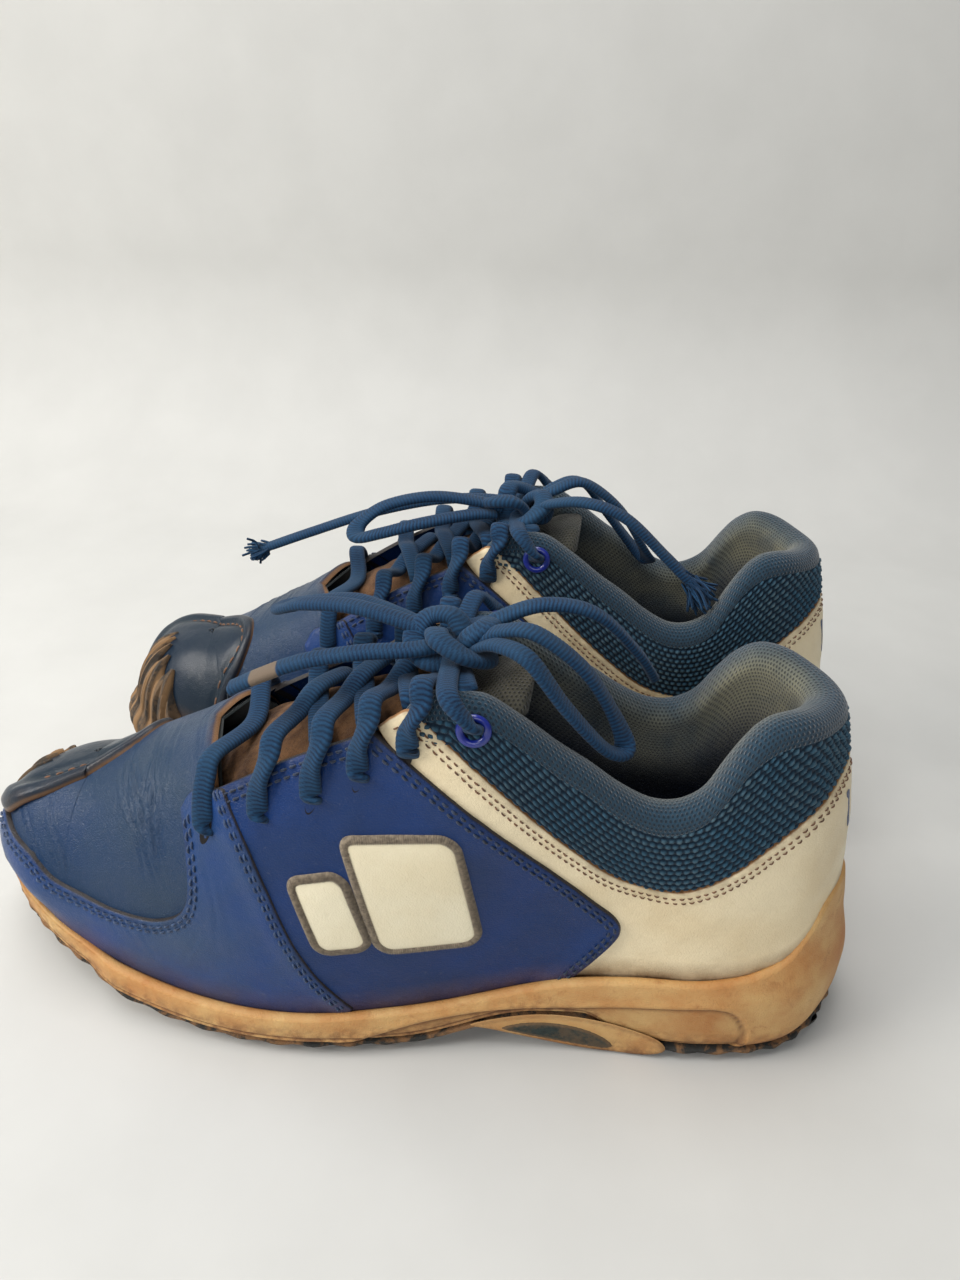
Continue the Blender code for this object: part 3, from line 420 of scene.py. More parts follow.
def leather(name, base, worn, raw, roughness=0.42, soil=0.35, grain=1.0, coat=0.0):
    """Coated leather: fine grain, cloudy wear, scuffs, a raw cut edge and soil near the sole."""
    look = Looks(name)
    edge = look.given("edge")
    height = look.given("height")
    clouds = look.span(look.noise(0.045, 5), 0.38, 0.66)
    tone = look.given("tone")
    colour = look.mix(look.times(clouds, 0.55), base, worn)
    colour = look.mix(look.times(tone, 0.85), colour, worn)
    scuffs = look.span(look.noise(0.5, 6, 0.7, warp=0.6), 0.62, 0.75)
    colour = look.mix(look.times(scuffs, 0.22), colour,
                      tuple(c * 0.5 + 0.22 for c in worn))
    low = look.span(height, 9.0, 0.0)
    dirt = look.times(look.times(low, look.noise(0.12, 5)), 1.6 * soil, clamp=True)
    colour = look.mix(dirt, colour, srgb(120, 90, 60))
    near = look.span(edge, 3.2, 0.5)
    grime = look.times(near, look.span(look.noise(0.25, 4), 0.3, 0.7))
    colour = look.mix(look.times(grime, 0.55), colour, tuple(c * 0.35 for c in raw))
    colour = look.mix(look.span(edge, 0.62, 0.3), colour, raw)
    fine = look.cells(1.25, feature="DISTANCE_TO_EDGE")
    wrinkle = look.noise(0.7, 7, 0.6, warp=0.8)
    normal = look.bump(look.span(fine, 0.0, 0.16), 0.10 * grain, 0.55)
    normal = look.bump(wrinkle, 0.35 * grain, 0.5, normal)
    normal = look.bump(look.noise(0.09, 4), 1.6, 0.35, normal)
    rough = look.math("ADD", look.times(look.noise(0.2, 4), 0.22), roughness - 0.11)
    return look.finish(colour, rough, normal, Coat_Weight=coat, Coat_Roughness=0.25,
                       Specular_IOR_Level=0.32)


def knit(name, dark, light, dust, dust_amount):
    """Coarse knobbly knit: the knobs are in the mesh, so this colours them, lighter on their tops as painted
    highlight and darker between them as painted shade, and adds fine yarn.
    """
    look = Looks(name)
    knob = look.given("knob")
    spread = look.math("ADD", knob, look.times(look.noise(1.6, 3), 0.5))
    # Painted light: the dark colour is painted shade between the knobs and the light colour is painted
    # highlight on their tops.
    colour = look.mix(look.span(spread, 0.25, 1.0), dark, light)
    powder = look.times(look.span(look.noise(0.06, 5), 0.42, 0.66), dust_amount)
    colour = look.mix(look.times(powder, look.span(spread, 0.5, 1.3)), colour, dust)
    yarn = look.noise(3.4, 3, 0.7)
    return look.finish(colour, 0.92, look.bump(yarn, 0.22, 0.9), Sheen_Weight=0.1, Sheen_Roughness=0.6,
                       Specular_IOR_Level=0.2)


def mesh_cloth(name, thread, hole, dust, dust_amount, pitch=1.4):
    """Fine warp-knitted mesh: rows of small openings set in brick fashion, which are painted dark as the
    shade in them.
    """
    look = Looks(name)
    at = look.given("uvw", "Vector")
    split = look.add("ShaderNodeSeparateXYZ", Vector=at)
    across = look.math("DIVIDE", split.outputs[0], pitch)
    down = look.math("DIVIDE", split.outputs[1], pitch * 0.86)
    row = look.math("FLOOR", down)
    odd = look.times(look.math("PINGPONG", row, 1.0), 0.5)
    fx = look.math("SUBTRACT", look.math("FRACT", look.math("ADD", across, odd)), 0.5)
    fy = look.math("SUBTRACT", look.math("FRACT", down), 0.5)
    round_ = look.math("SQRT", look.math("ADD", look.times(fx, fx),
                                         look.times(look.times(fy, fy), 0.7)))
    open_ = look.span(round_, 0.34, 0.2)
    colour = look.mix(look.span(look.noise(0.7, 4), 0.3, 0.7), thread, tuple(c * 0.72 for c in thread))
    powder = look.math("ADD", look.span(look.noise(0.05, 5), 0.36, 0.64), 0.35)
    powder = look.times(powder, dust_amount)
    powder = look.times(powder, look.given("edge"), clamp=True)
    colour = look.mix(powder, colour, dust)
    # Painted shade: the openings take the dark hole colour.
    colour = look.mix(look.times(open_, 0.62), colour, hole)
    depth = look.given("tone")
    colour = look.mix(depth, colour, srgb(18, 52, 110))
    height = look.math("ADD", look.math("SUBTRACT", 1.0, open_), look.times(look.noise(4.0, 2), 0.4))
    return look.finish(colour, 0.9, look.bump(height, 0.35, 0.8), Sheen_Weight=0.3, Sheen_Roughness=0.5,
                       Specular_IOR_Level=0.2)


def foam(name):
    """Moulded foam, aged from cream to tan, darker brown in its grooves and along its ledge, with painted
    shade where it tucks in under the upper and underneath, and fine pits.
    """
    look = Looks(name)
    height = look.given("height")
    groove = look.given("tone")
    clouds = look.span(look.noise(0.05, 6, 0.6), 0.34, 0.68)
    colour = look.mix(clouds, srgb(212, 172, 112), srgb(186, 124, 64))
    stain = look.span(look.noise(0.16, 7, 0.7, warp=0.5), 0.56, 0.72)
    colour = look.mix(look.times(stain, 0.6), colour, srgb(160, 102, 52))
    low = look.span(height, 8.0, 0.5)
    colour = look.mix(look.times(low, look.span(look.noise(0.3, 5), 0.4, 0.6)), colour,
                      srgb(120, 76, 40))
    # The tone darkens the grooves and the ledge, and paints shade where the foam tucks in under the upper and
    # on its underside.
    colour = look.mix(groove, colour, srgb(104, 66, 36))
    pits = look.cells(1.7)
    normal = look.bump(look.span(pits, 0.1, 0.5), 0.12, 0.6)
    normal = look.bump(look.noise(0.5, 6), 0.45, 0.5, normal)
    return look.finish(colour, 0.62, normal, Subsurface_Weight=0.06, Subsurface_Radius=(0.004, 0.002, 0.001))


def rubber(name, base, clay, amount):
    look = Looks(name)
    packed = look.times(look.span(look.noise(0.14, 6, 0.7, warp=0.4), 0.44, 0.56), amount)
    rib = look.given("tone")
    packed = look.math("MAXIMUM", packed, rib)
    colour = look.mix(look.span(look.noise(0.6, 4), 0.3, 0.7), base, tuple(c * 1.7 for c in base))
    colour = look.mix(packed, colour, clay)
    normal = look.bump(look.noise(0.9, 6, 0.65), 0.5, 0.6)
    normal = look.bump(look.cells(2.2), 0.12, 0.5, normal)
    return look.finish(colour, 0.8, normal)


def cord(name, dark, light, tip):
    """Braided cord: a herringbone of small strands that runs along each lace, lighter on the raised strands
    as painted highlight and darker between them as painted shade.
    """
    look = Looks(name)
    knob = look.given("knob")
    # Painted light: the raised braid strands take the light colour as painted highlight and the hollows
    # between them the dark colour as painted shade.
    colour = look.mix(look.span(look.math("ADD", knob, look.times(look.noise(1.5, 3), 0.5)),
                                0.25, 1.35), dark, light)
    faded = look.span(look.noise(0.05, 4), 0.45, 0.68)
    colour = look.mix(look.times(faded, 0.35), colour, srgb(40, 74, 100))
    colour = look.mix(look.given("tone"), colour, tip)
    return look.finish(colour, 0.85, look.bump(look.noise(3.5, 3, 0.7), 0.16, 0.9), Sheen_Weight=0.08,
                       Sheen_Roughness=0.5, Specular_IOR_Level=0.25)


def suede(name):
    look = Looks(name)
    clouds = look.span(look.noise(0.12, 6, 0.65), 0.36, 0.66)
    colour = look.mix(clouds, srgb(74, 48, 31), srgb(134, 96, 62))
    flecks = look.span(look.noise(1.3, 5, 0.8), 0.52, 0.66)
    colour = look.mix(look.times(flecks, 0.75), colour, srgb(58, 42, 32))
    normal = look.bump(look.noise(1.8, 6, 0.75), 0.9, 0.9)
    return look.finish(colour, 0.95, normal, Sheen_Weight=0.08, Sheen_Roughness=0.6, Specular_IOR_Level=0.15)


def thread(name, base, dark):
    look = Looks(name)
    colour = look.mix(look.span(look.noise(0.9, 4), 0.35, 0.65), base, dark)
    return look.finish(colour, 0.75, look.bump(look.noise(6.0, 2), 0.1, 0.8), Sheen_Weight=0.2)


def plain(name, base, other, roughness, scale=0.5, depth=0.2, **more):
    look = Looks(name)
    colour = look.mix(look.span(look.noise(scale, 5), 0.35, 0.65), base, other)
    return look.finish(colour, roughness, look.bump(look.noise(scale * 4, 5), depth, 0.6), **more)


RAW = srgb(128, 92, 60)
NAVY_EDGE = srgb(48, 44, 44)
MATERIALS = {
    "mudguard": leather("blue_leather_front", srgb(22, 60, 120), srgb(48, 72, 102), NAVY_EDGE, 0.36, 0.35),
    "quarter": leather("blue_leather_quarter", srgb(13, 50, 106), srgb(18, 44, 82), NAVY_EDGE, 0.38, 0.45),
    "vamp": leather("blue_leather_vamp", srgb(22, 52, 90), srgb(40, 60, 78), RAW, 0.36, 0.2, 1.2),
    "toe_cap": leather("teal_leather_cap", srgb(14, 34, 52), srgb(28, 42, 52), srgb(104, 74, 48), 0.34,
                       0.5, 0.6, 0.12),
    "heel_wrap": leather("white_leather", srgb(244, 228, 192), srgb(220, 196, 152), srgb(150, 108, 70), 0.40,
                         1.0, 0.8),
    "badge": leather("white_patch", srgb(246, 236, 206), srgb(236, 220, 182), srgb(170, 150, 120), 0.45,
                     0.0, 0.8),
    # The collar knit's first colour is painted shade between the knobs and its second is painted highlight on
    # their tops.
    "collar": knit("collar_knit", srgb(14, 34, 52), srgb(44, 82, 104), srgb(100, 104, 92), 0.4),
    # In the mesh cloths the second colour is painted shade in the openings.
    "lining": mesh_cloth("lining_mesh", srgb(36, 62, 80), srgb(10, 20, 34), srgb(128, 126, 106), 1.0),
    "tongue_mesh": mesh_cloth("tongue_mesh", srgb(52, 60, 60), srgb(14, 18, 22), srgb(112, 104, 86),
                              0.6, 1.2),
    "suede": suede("tongue_suede"),
    "foam": foam("midsole_foam"),
    "outsole": rubber("outsole_rubber", srgb(36, 37, 36), srgb(176, 128, 80), 0.55),
    "bumper": rubber("bumper_rubber", srgb(50, 44, 38), srgb(158, 122, 82), 0.35),
    "shank": rubber("shank_plastic", srgb(34, 44, 42), srgb(150, 112, 70), 0.25),
    # The lace's first colour is painted shade between the braid's strands and its second is painted highlight
    # on them.
    "lace": cord("lace_cord", srgb(6, 24, 48), srgb(28, 74, 112), srgb(112, 98, 84)),
    "ring": plain("eyelet_plastic", srgb(18, 34, 140), srgb(30, 48, 124), 0.28, 0.3, 0.02,
                  Coat_Weight=0.4),
    # Painted shade: near-black for the inside of the lace holes and the eyelet's hole.
    "hole": plain("punched_hole_shade", srgb(10, 10, 14), srgb(26, 20, 16), 0.9),
    "footbed": mesh_cloth("footbed_cloth", srgb(26, 46, 88), srgb(14, 22, 44), srgb(70, 72, 70), 0.4, 0.9),
    "blue_thread": thread("blue_thread", srgb(52, 76, 112), srgb(28, 44, 72)),
    "dark_thread": thread("dark_thread", srgb(42, 58, 86), srgb(22, 30, 44)),
    "tan_thread": thread("tan_thread", srgb(128, 88, 60), srgb(84, 58, 40)),
    "border_thread": thread("border_thread", srgb(146, 132, 112), srgb(104, 92, 78)),
    "board": plain("fibre_board", srgb(196, 186, 160), srgb(170, 158, 130), 0.9, 0.8, 0.2),
    "stiffener": plain("stiffener_sheet", srgb(190, 184, 170), srgb(160, 154, 140), 0.8, 0.8, 0.1),
    "padding": plain("padding_foam", srgb(200, 186, 120), srgb(178, 160, 96), 1.0, 0.9, 0.4),
}


# ---------------------------------------------------------------- meshes

def grid_faces(rows, columns, wrap=False):
    """Quads of a grid of points; wrap joins the last column to the first."""
    i, j = np.meshgrid(np.arange(rows - 1), np.arange(columns if wrap else columns - 1), indexing="ij")
    after = (j + 1) % columns
    return np.stack([i * columns + j, i * columns + after, (i + 1) * columns + after,
                     (i + 1) * columns + j], -1).reshape(-1, 4)


def build(name, points, faces, side, look, body, stands_for=(), attributes=None, normals=None):
    """One visible piece from points in last coordinates and arrays of faces."""
    mesh = bpy.data.meshes.new(name)
    world = to_world(points, side)
    faces = [np.asarray(f) for f in faces if len(f)]
    if normals is not None:
        first = faces[0][len(faces[0]) // 2::max(1, len(faces[0]) // 50)]
        corner = np.asarray(points)[first[:, :3]]
        turned = np.cross(corner[:, 1] - corner[:, 0], corner[:, 2] - corner[:, 0])
        outwards = np.einsum("ij,ij->", turned, np.asarray(normals)[first[:, 0]]) > 0
    else:
        outwards = True
    if outwards == (side < 0):
        faces = [f[:, ::-1] for f in faces]
    mesh.vertices.add(len(world))
    mesh.vertices.foreach_set("co", world.astype(np.float32).ravel())
    sizes = np.concatenate([np.full(len(f), f.shape[1]) for f in faces])
    loops = np.concatenate([f.ravel() for f in faces]).astype(np.int32)
    mesh.loops.add(len(loops))
    mesh.loops.foreach_set("vertex_index", loops)
    mesh.polygons.add(len(sizes))
    mesh.polygons.foreach_set("loop_start", np.concatenate([[0], np.cumsum(sizes)[:-1]]).astype(np.int32))
    mesh.polygons.foreach_set("use_smooth", np.ones(len(sizes), bool))
    mesh.update(calc_edges=True)
    mesh.validate()
    for key, value in (attributes or {}).items():
        value = np.asarray(value, np.float32)
        kind = "FLOAT_VECTOR" if value.ndim == 2 else "FLOAT"
        layer = mesh.attributes.new(key, kind, "POINT")
        layer.data.foreach_set("vector" if value.ndim == 2 else "value", value.ravel())
    obj = bpy.data.objects.new(name, mesh)
    bpy.context.scene.collection.objects.link(obj)
    mesh.materials.append(MATERIALS[look])
    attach(obj, body)
    if stands_for:
        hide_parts(*stands_for)
    return obj


def both(name, points, faces, look, stands_for=None, body="shoe", attributes=None, normals=None,
         shoes=SHOES):
    """The same piece on the left shoe and, mirrored, on the right one."""
    for side, prefix in shoes:
        nodes = [prefix + node for node in (stands_for or ())]
        build(prefix + name, points, faces, side, look, prefix + body, nodes, attributes, normals)


# ---------------------------------------------------------------- outlines on the upper

def to_uz(points, side):
    """(a, z) points to (u, z), where u is the distance round the upper from the heel."""
    return np.array([[q_at(a, side) * GIRTH, z] for a, z in points], float)


def run(points, step):
    """A smooth open curve through the points, at even steps, without its last point."""
    points = np.asarray(points, float)
    curve = catmull(points, 12) if len(points) > 2 else points
    length = np.linalg.norm(np.diff(curve, axis=0), axis=1).sum()
    count = max(1, int(round(length / step)))
    return resample(curve, np.arange(count) / count)


def closed_outline(runs, step):
    return np.vstack([run(points, step) for points in runs])


def segment_distance(points, line, closed=True, chunk=2500):
    """Distance from each point to a polyline, and the position along it from 0 to 1."""
    line = np.asarray(line, float)
    starts = line if closed else line[:-1]
    ends = np.roll(line, -1, 0) if closed else line[1:]
    step = ends - starts
    size = np.maximum((step**2).sum(1), 1e-9)
    reached = np.concatenate([[0], np.cumsum(np.sqrt(size))])
    far, along_line = [], []
    for k in range(0, len(points), chunk):
        part = points[k:k + chunk, None, :] - starts[None]
        t = np.clip((part * step[None]).sum(2) / size, 0, 1)
        gap = np.linalg.norm(part - t[..., None] * step[None], axis=2)
        best = gap.argmin(1)
        rows = np.arange(len(best))
        far.append(gap[rows, best])
        along_line.append((reached[best] + t[rows, best] * np.sqrt(size[best])) / reached[-1])
    return np.concatenate(far), np.concatenate(along_line)


def inside(points, outline):
    x, y = points[:, 0][:, None], points[:, 1][:, None]
    x0, y0 = outline.T
    x1, y1 = np.roll(outline, -1, 0).T
    crosses = ((y0 > y) != (y1 > y)) & (x < (x1 - x0) * (y - y0) / np.where(y1 == y0, 1e-9, y1 - y0) + x0)
    return crosses.sum(1) % 2 == 1


def fill(outline, step, rings=(0.3, 0.75)):
    """Points and triangles that fill a closed outline, with close rows of points along its edge."""
    x, y = outline.T
    if (x * np.roll(y, -1) - np.roll(x, -1) * y).sum() < 0:
        outline = outline[::-1]
    tangent = unit(np.roll(outline, -1, 0) - np.roll(outline, 1, 0))
    inward = np.stack([-tangent[:, 1], tangent[:, 0]], 1)
    points = [outline]
    for depth in rings:
        row = outline + inward * depth
        points.append(row[(segment_distance(row, outline)[0] > 0.9 * depth) & inside(row, outline)])
    low, high = outline.min(0), outline.max(0)
    rows = np.arange(low[1], high[1], step * 0.87)
    lattice = []
    for k, z in enumerate(rows):
        across = np.arange(low[0] + (k % 2) * step / 2, high[0], step)
        lattice.append(np.stack([across, np.full(len(across), z)], 1))
    lattice = np.vstack(lattice)
    lattice = lattice[inside(lattice, outline)]
    lattice = lattice[segment_distance(lattice, outline)[0] > rings[-1] + 0.45 * step]
    every = np.vstack([*points, lattice])
    result = delaunay_2d_cdt([Vector(p) for p in every], [], [list(range(len(outline)))], 1, 1e-5)
    verts = np.array([tuple(v) for v in result[0]])
    triangles = np.array([f for f in result[2] if len(f) == 3])
    return verts, triangles, outline


def fullness(points):
    """How far the toe's outer side stands out beyond the plain wall."""
    a, y, z = points.T
    rise = smoothstep(lip(a) - 2, lip(a) + 12, z) * (1 - smoothstep(50, 66, z))
    return 4.5 * smoothstep(230, 254, a) * rise * (1 - smoothstep(-4, 10, y))


def lift(uz, offset):
    """Points of the upper at (u, z), this far outside the lining, with their outward normals."""
    base = wall(uz[:, 0] / GIRTH, uz[:, 1])
    normal = outward(base)
    return base + normal * (offset + swell(base) + fullness(base))[:, None], normal


def near_line(line, height, start, end):
    """A function of (u, z) points that raises a panel's edge where it lies over its neighbour."""
    smooth = catmull(line, 8)

    def rise(uz):
        gap, _ = segment_distance(uz, smooth, closed=False)
        return height * (1 - smoothstep(start, end, gap))
    return rise


def shallow(points, lines):
    """Creases: each line is (points, width, depth), deepest in its middle."""
    total = np.zeros(len(points))
    for line, width, depth in lines:
        smooth = catmull(line, 6)
        gap, t = segment_distance(points, smooth, closed=False)
        inner = -hump(gap, 0, width)
        bank = 0.45 * hump(gap, 2.2 * width, 1.2 * width)
        total += depth * (inner + bank) * np.sin(np.pi * np.clip(t, 0.001, 0.999))**0.7
    return total


def panel(name, runs, base, thick, look, nodes, step=1.5, channels=(), creases=(), pillow=0.0,
          edge_step=0.9, tone=None, rough=0.12, over=None):
    """A sewn leather panel on both shoes: its outline in (u, z), its stitch channels, its creases."""
    uz, triangles, outline = fill(closed_outline(runs, edge_step), step)
    edge, _ = segment_distance(uz, outline)
    offset = base + thick * rounded(edge, 0.9)
    offset = offset + pillow * rounded(edge, 9.0)
    for line in channels:
        gap, _ = segment_distance(uz, line, closed=False)
        offset = offset - 0.28 * hump(gap, 0, 0.7)
    if creases:
        offset = offset + shallow(uz, creases)
    if over:
        offset = offset + over(uz)
    offset = offset + rough * np.sin(uz[:, 0] * 0.31 + 1.3) * np.sin(uz[:, 1] * 0.43) * rounded(edge, 6.0)
    points, normal = lift(uz, offset)
    values = {"edge": edge, "height": points[:, 2] - lip(points[:, 0]),
              "uvw": np.column_stack([uz, np.zeros(len(uz))]),
              "tone": np.zeros(len(uz)) if tone is None else tone(uz)}
    both(name, points, [triangles], look, nodes, attributes=values, normals=normal)


def inset_line(points, distance):
    """A smooth open line moved sideways: to its left for a positive distance."""
    curve = catmull(points, 10) if len(points) > 2 else np.asarray(points, float)
    tangent = unit(np.gradient(curve, axis=0))
    moved = curve + np.stack([-tangent[:, 1], tangent[:, 0]], 1) * distance
    gap, _ = segment_distance(moved, curve, closed=False)
    return moved[gap > 0.93 * abs(distance)]


STITCH_RINGS, STITCH_CORNERS = 5, 6
SEWN = {}  # the tubes of every stitch so far, by colour of thread


def sew(line, offset, colour, length=2.5, gap=0.75, radius=0.32):
    """A row of stitches along a line of (u, z) points on the upper."""
    size = np.linalg.norm(np.diff(line, axis=0), axis=1).sum()
    count = max(1, int(size / (length + gap)))
    for k in range(count):
        at = resample(line, (np.linspace(0, length, STITCH_RINGS) + k * (length + gap)) / size)
        arch = np.array([-0.45, 0.12, 0.26, 0.12, -0.45]) + offset
        points, normal = lift(at, arch)
        stitch_tube(points, normal, radius, colour)


def stitch_tube(points, normal, radius, colour):
    """One stitch: a short tube along five points, thinner where it dives into the leather."""
    across = unit(np.cross(unit(np.gradient(points, axis=0)), normal))
    angles = round_angles(STITCH_CORNERS)
    shape = np.array([0.55, 1.0, 1.08, 1.0, 0.55]) * radius
    rings = (points[:, None, :] + shape[:, None, None]
             * (across[:, None, :] * np.cos(angles)[None, :, None] * 1.15
                + normal[:, None, :] * np.sin(angles)[None, :, None] * 0.85))
    SEWN.setdefault(colour, []).append(rings.reshape(-1, 3))


def finish_sewing():
    """Each colour's stitches become one piece on each shoe."""
    quads = grid_faces(STITCH_RINGS, STITCH_CORNERS, wrap=True)
    for colour, tubes in SEWN.items():
        points = np.vstack(tubes)
        faces = np.vstack([quads + STITCH_RINGS * STITCH_CORNERS * k for k in range(len(tubes))])
        both("stitching_" + colour, points, [faces], colour + "_thread")


# ---------------------------------------------------------------- the leather panels

FEATHER_DROP = 1.5


def foot_line(start, end, side, count=14):
    """(u, z) points along the bottom edge of the upper, tucked behind the midsole's lip."""
    stops = np.linspace(start, end, count)
    return to_uz([(a, float(feather(a)) - FEATHER_DROP) for a in stops], side)


def make_panels():
    for side, word in FLANKS:
        # The front panel: its curved edge over the vamp, its short top edge, its seam on the quarter.
        if side < 0:
            curve = [(269, 42), (267.5, 45), (264.8, 46.9), (259, 45.6), (250.2, 44.1), (240.5, 39.3),
                     (224.7, 37.4), (210, 38.3), (202.5, 40.6), (196.6, 44.8), (193.6, 51.7),
                     (193.2, 64), (195.2, 73.5)]
        else:
            curve = [(240, 34), (232, 35.5), (222, 36.5), (212, 37.6), (203.5, 40), (197.3, 44.8),
                     (194.3, 51.7), (193.8, 64), (195.6, 73.5)]
        top = [(195.2, 73.5), (191.5, 78.4), (185, 81.8), (179.2, 84.6)]
        seam = [(179.2, 84.6), (174.9, 77.6), (171.6, 70.4), (167.2, 58.5), (162.6, 43.7), (156, 28.5),
                (147, 15)]
        front = curve[0][0]
        runs = [to_uz(curve, side), to_uz(top, side), to_uz(seam, side),
                foot_line(147, front, side, 24),
                [foot_line(front, front, side, 2)[0], to_uz(curve[:1], side)[0]]]
        rows = [inset_line(to_uz(curve, side), side * d) for d in (1.9, 3.5)]
        back = [inset_line(to_uz(seam, side), side * d) for d in (1.8, 3.2)]
        folds = [([(187, 66), (184.5, 52), (185.5, 34)], 0.55, 0.34),
                 ([(182.5, 62), (180.5, 46), (181, 30)], 0.45, 0.22),
                 ([(190, 43), (193, 35), (198, 27)], 0.5, 0.3),
                 ([(193, 41), (197, 33), (203, 26)], 0.4, 0.22),
                 ([(213, 36), (209, 31), (206, 25)], 0.45, 0.28),
                 ([(218, 36), (213, 30), (211, 25)], 0.4, 0.24),
                 ([(223, 35), (219, 30), (217, 26)], 0.4, 0.16),
                 ([(178, 58), (175, 42), (172, 28)], 0.4, 0.16)]
        creases = [(to_uz(line, side), width, depth) for line, width, depth in folds]

        def worn(uz, side=side):
            centre = to_uz([(196, 36)], side)[0]
            return np.exp(-(((uz - centre) / (22, 14))**2).sum(1)) * 0.9

        panel("mudguard_" + word, runs, 2.6, 2.3, "mudguard", ["mudguard_" + word], 1.25,
              rows + back, creases, tone=worn, over=near_line(to_uz(seam, side), 1.3, 2.5, 10))
        for line in rows:
            sew(line, 4.9, "blue", 2.3, 0.7)
        for line in back:
            sew(line, 6.1, "blue", 2.3, 0.7)

        # The quarter, which lies over the heel wrap and under the front panel.
        facing = [(183.5, 82.4), (176, 87.6), (167.9, 92.7), (157.5, 98.7), (146.1, 104.3),
                  (138.4, 108.9)]
        rear = [(138.4, 108.9), (135.5, 107.4), (123.3, 98.6), (106, 83.5), (89, 68.6), (78.5, 59),
                (72.4, 53.3), (70.6, 48.6), (72.6, 43.2), (79, 33.2), (88, 21)]
        front_line = [(150, 13.5), (160, 28.5), (167, 43.7), (171.5, 58.5), (176, 70.4),
                      (183.5, 82.4)]
        runs = [to_uz(facing, side), to_uz(rear, side), foot_line(88, 150, side), to_uz(front_line, side)]
        rows = [inset_line(to_uz(line, side), side * d) for line in (facing, rear) for d in (2.0, 3.7)]
        panel("quarter_" + word, runs, 2.7, 2.2, "quarter", ["quarter_" + word], 1.6, rows,
              pillow=0.25, over=near_line(to_uz(rear, side), 0.9, 3, 10))
        for k, line in enumerate(rows):
            sew(line, 5.15 + (0.75 if k > 1 else 0), "dark", 2.3, 0.7)


WRAP_TOP = [(133.8, 112.2), (127.6, 114.8), (118.2, 108.4), (106.3, 96.9), (95.3, 86.6), (83.8, 76.6),
            (72.2, 68.6), (57.6, 65.6), (49.5, 68.2), (40.9, 74.4), (33.4, 81.3), (25.6, 87.6), (19.3, 92.0)]
WRAP_BOTTOM = [(137, 109.5), (133, 105), (119.5, 93.5), (103, 78.5), (87, 64), (79, 56), (77.5, 49), (84, 33),
               (92, 20)]


def make_heel_wrap():
    outer, inner = to_uz(WRAP_TOP, -1), to_uz(WRAP_TOP, 1)
    back = [(0.0, 97.2)]
    top = np.vstack([outer, back, inner[::-1]])
    low_in = to_uz(WRAP_BOTTOM, 1)
    low_out = to_uz(WRAP_BOTTOM, -1)[::-1]
    bottom = np.vstack([foot_line(92, 11, 1, 26), foot_line(11, 92, -1, 26)])
    runs = [top, [top[-1], low_in[0]], low_in, bottom, low_out, [low_out[-1], top[0]]]
    rows = [inset_line(top, -d) for d in (2.6, 4.3)]
    folds = [([(30, 78), (44, 66), (52, 61)], 0.7, 0.2), ([(26, 70), (36, 60), (46, 54)], 0.6, 0.14)]
    creases = [(to_uz(line, s), w, d) for line, w, d in folds for s in (-1, 1)]
    panel("heel_wrap", runs, 3.0, 1.4, "heel_wrap", ["heel_wrap"], 1.9, rows, creases)
    for line in rows:
        sew(line, 4.32, "tan", 1.9, 0.5, 0.21)


# ---------------------------------------------------------------- vamp, toe cap and bumper

THROAT_FRONT = 193.0


def forefoot_plan(first_a, rows, columns):
    """Plan points across the forefoot over the ridge, from the throat (row 0) to the toe."""
    t = np.linspace(0, 1, rows + 1)[:, None]
    turn = np.linspace(-1, 1, columns + 1)[None, :]
    ends = []
    for side, curve in UPPER_FEET:
        start = abs(q_at(first_a, side))
        ends.append(side_point(curve, (start + (1 - start) * t)[:, 0]))
    spine = THROAT_FRONT + (TOE_POLE[0] - THROAT_FRONT) * np.minimum(1, t[:, 0] / 0.55)
    centre = np.stack([spine, axis_point(spine)[1]], 1)
    end = np.where((turn < 0)[..., None], ends[0][:, None], ends[1][:, None])
    cos = np.cos((1 - np.abs(turn)) * math.pi / 2)[..., None]**(2 / 2.6)
    return centre[:, None] + (end - centre[:, None]) * cos


# The flex wrinkles of the toe leather, in three places. Each end of one is (turn, a), and each of
# the two is a base and the spread of a random draw.
WRINKLES = ([(((-0.64, 0.2), (200, 9)), ((0.15, -0.4), (205, 22)))] * 20
            + [(((-0.7, 0.1), (232, 16)), ((-0.25, -0.2), (236, 22)))] * 7
            + [(((0.25, 0.2), (206, 14)), ((0.7, -0.1), (202, 10)))] * 7)


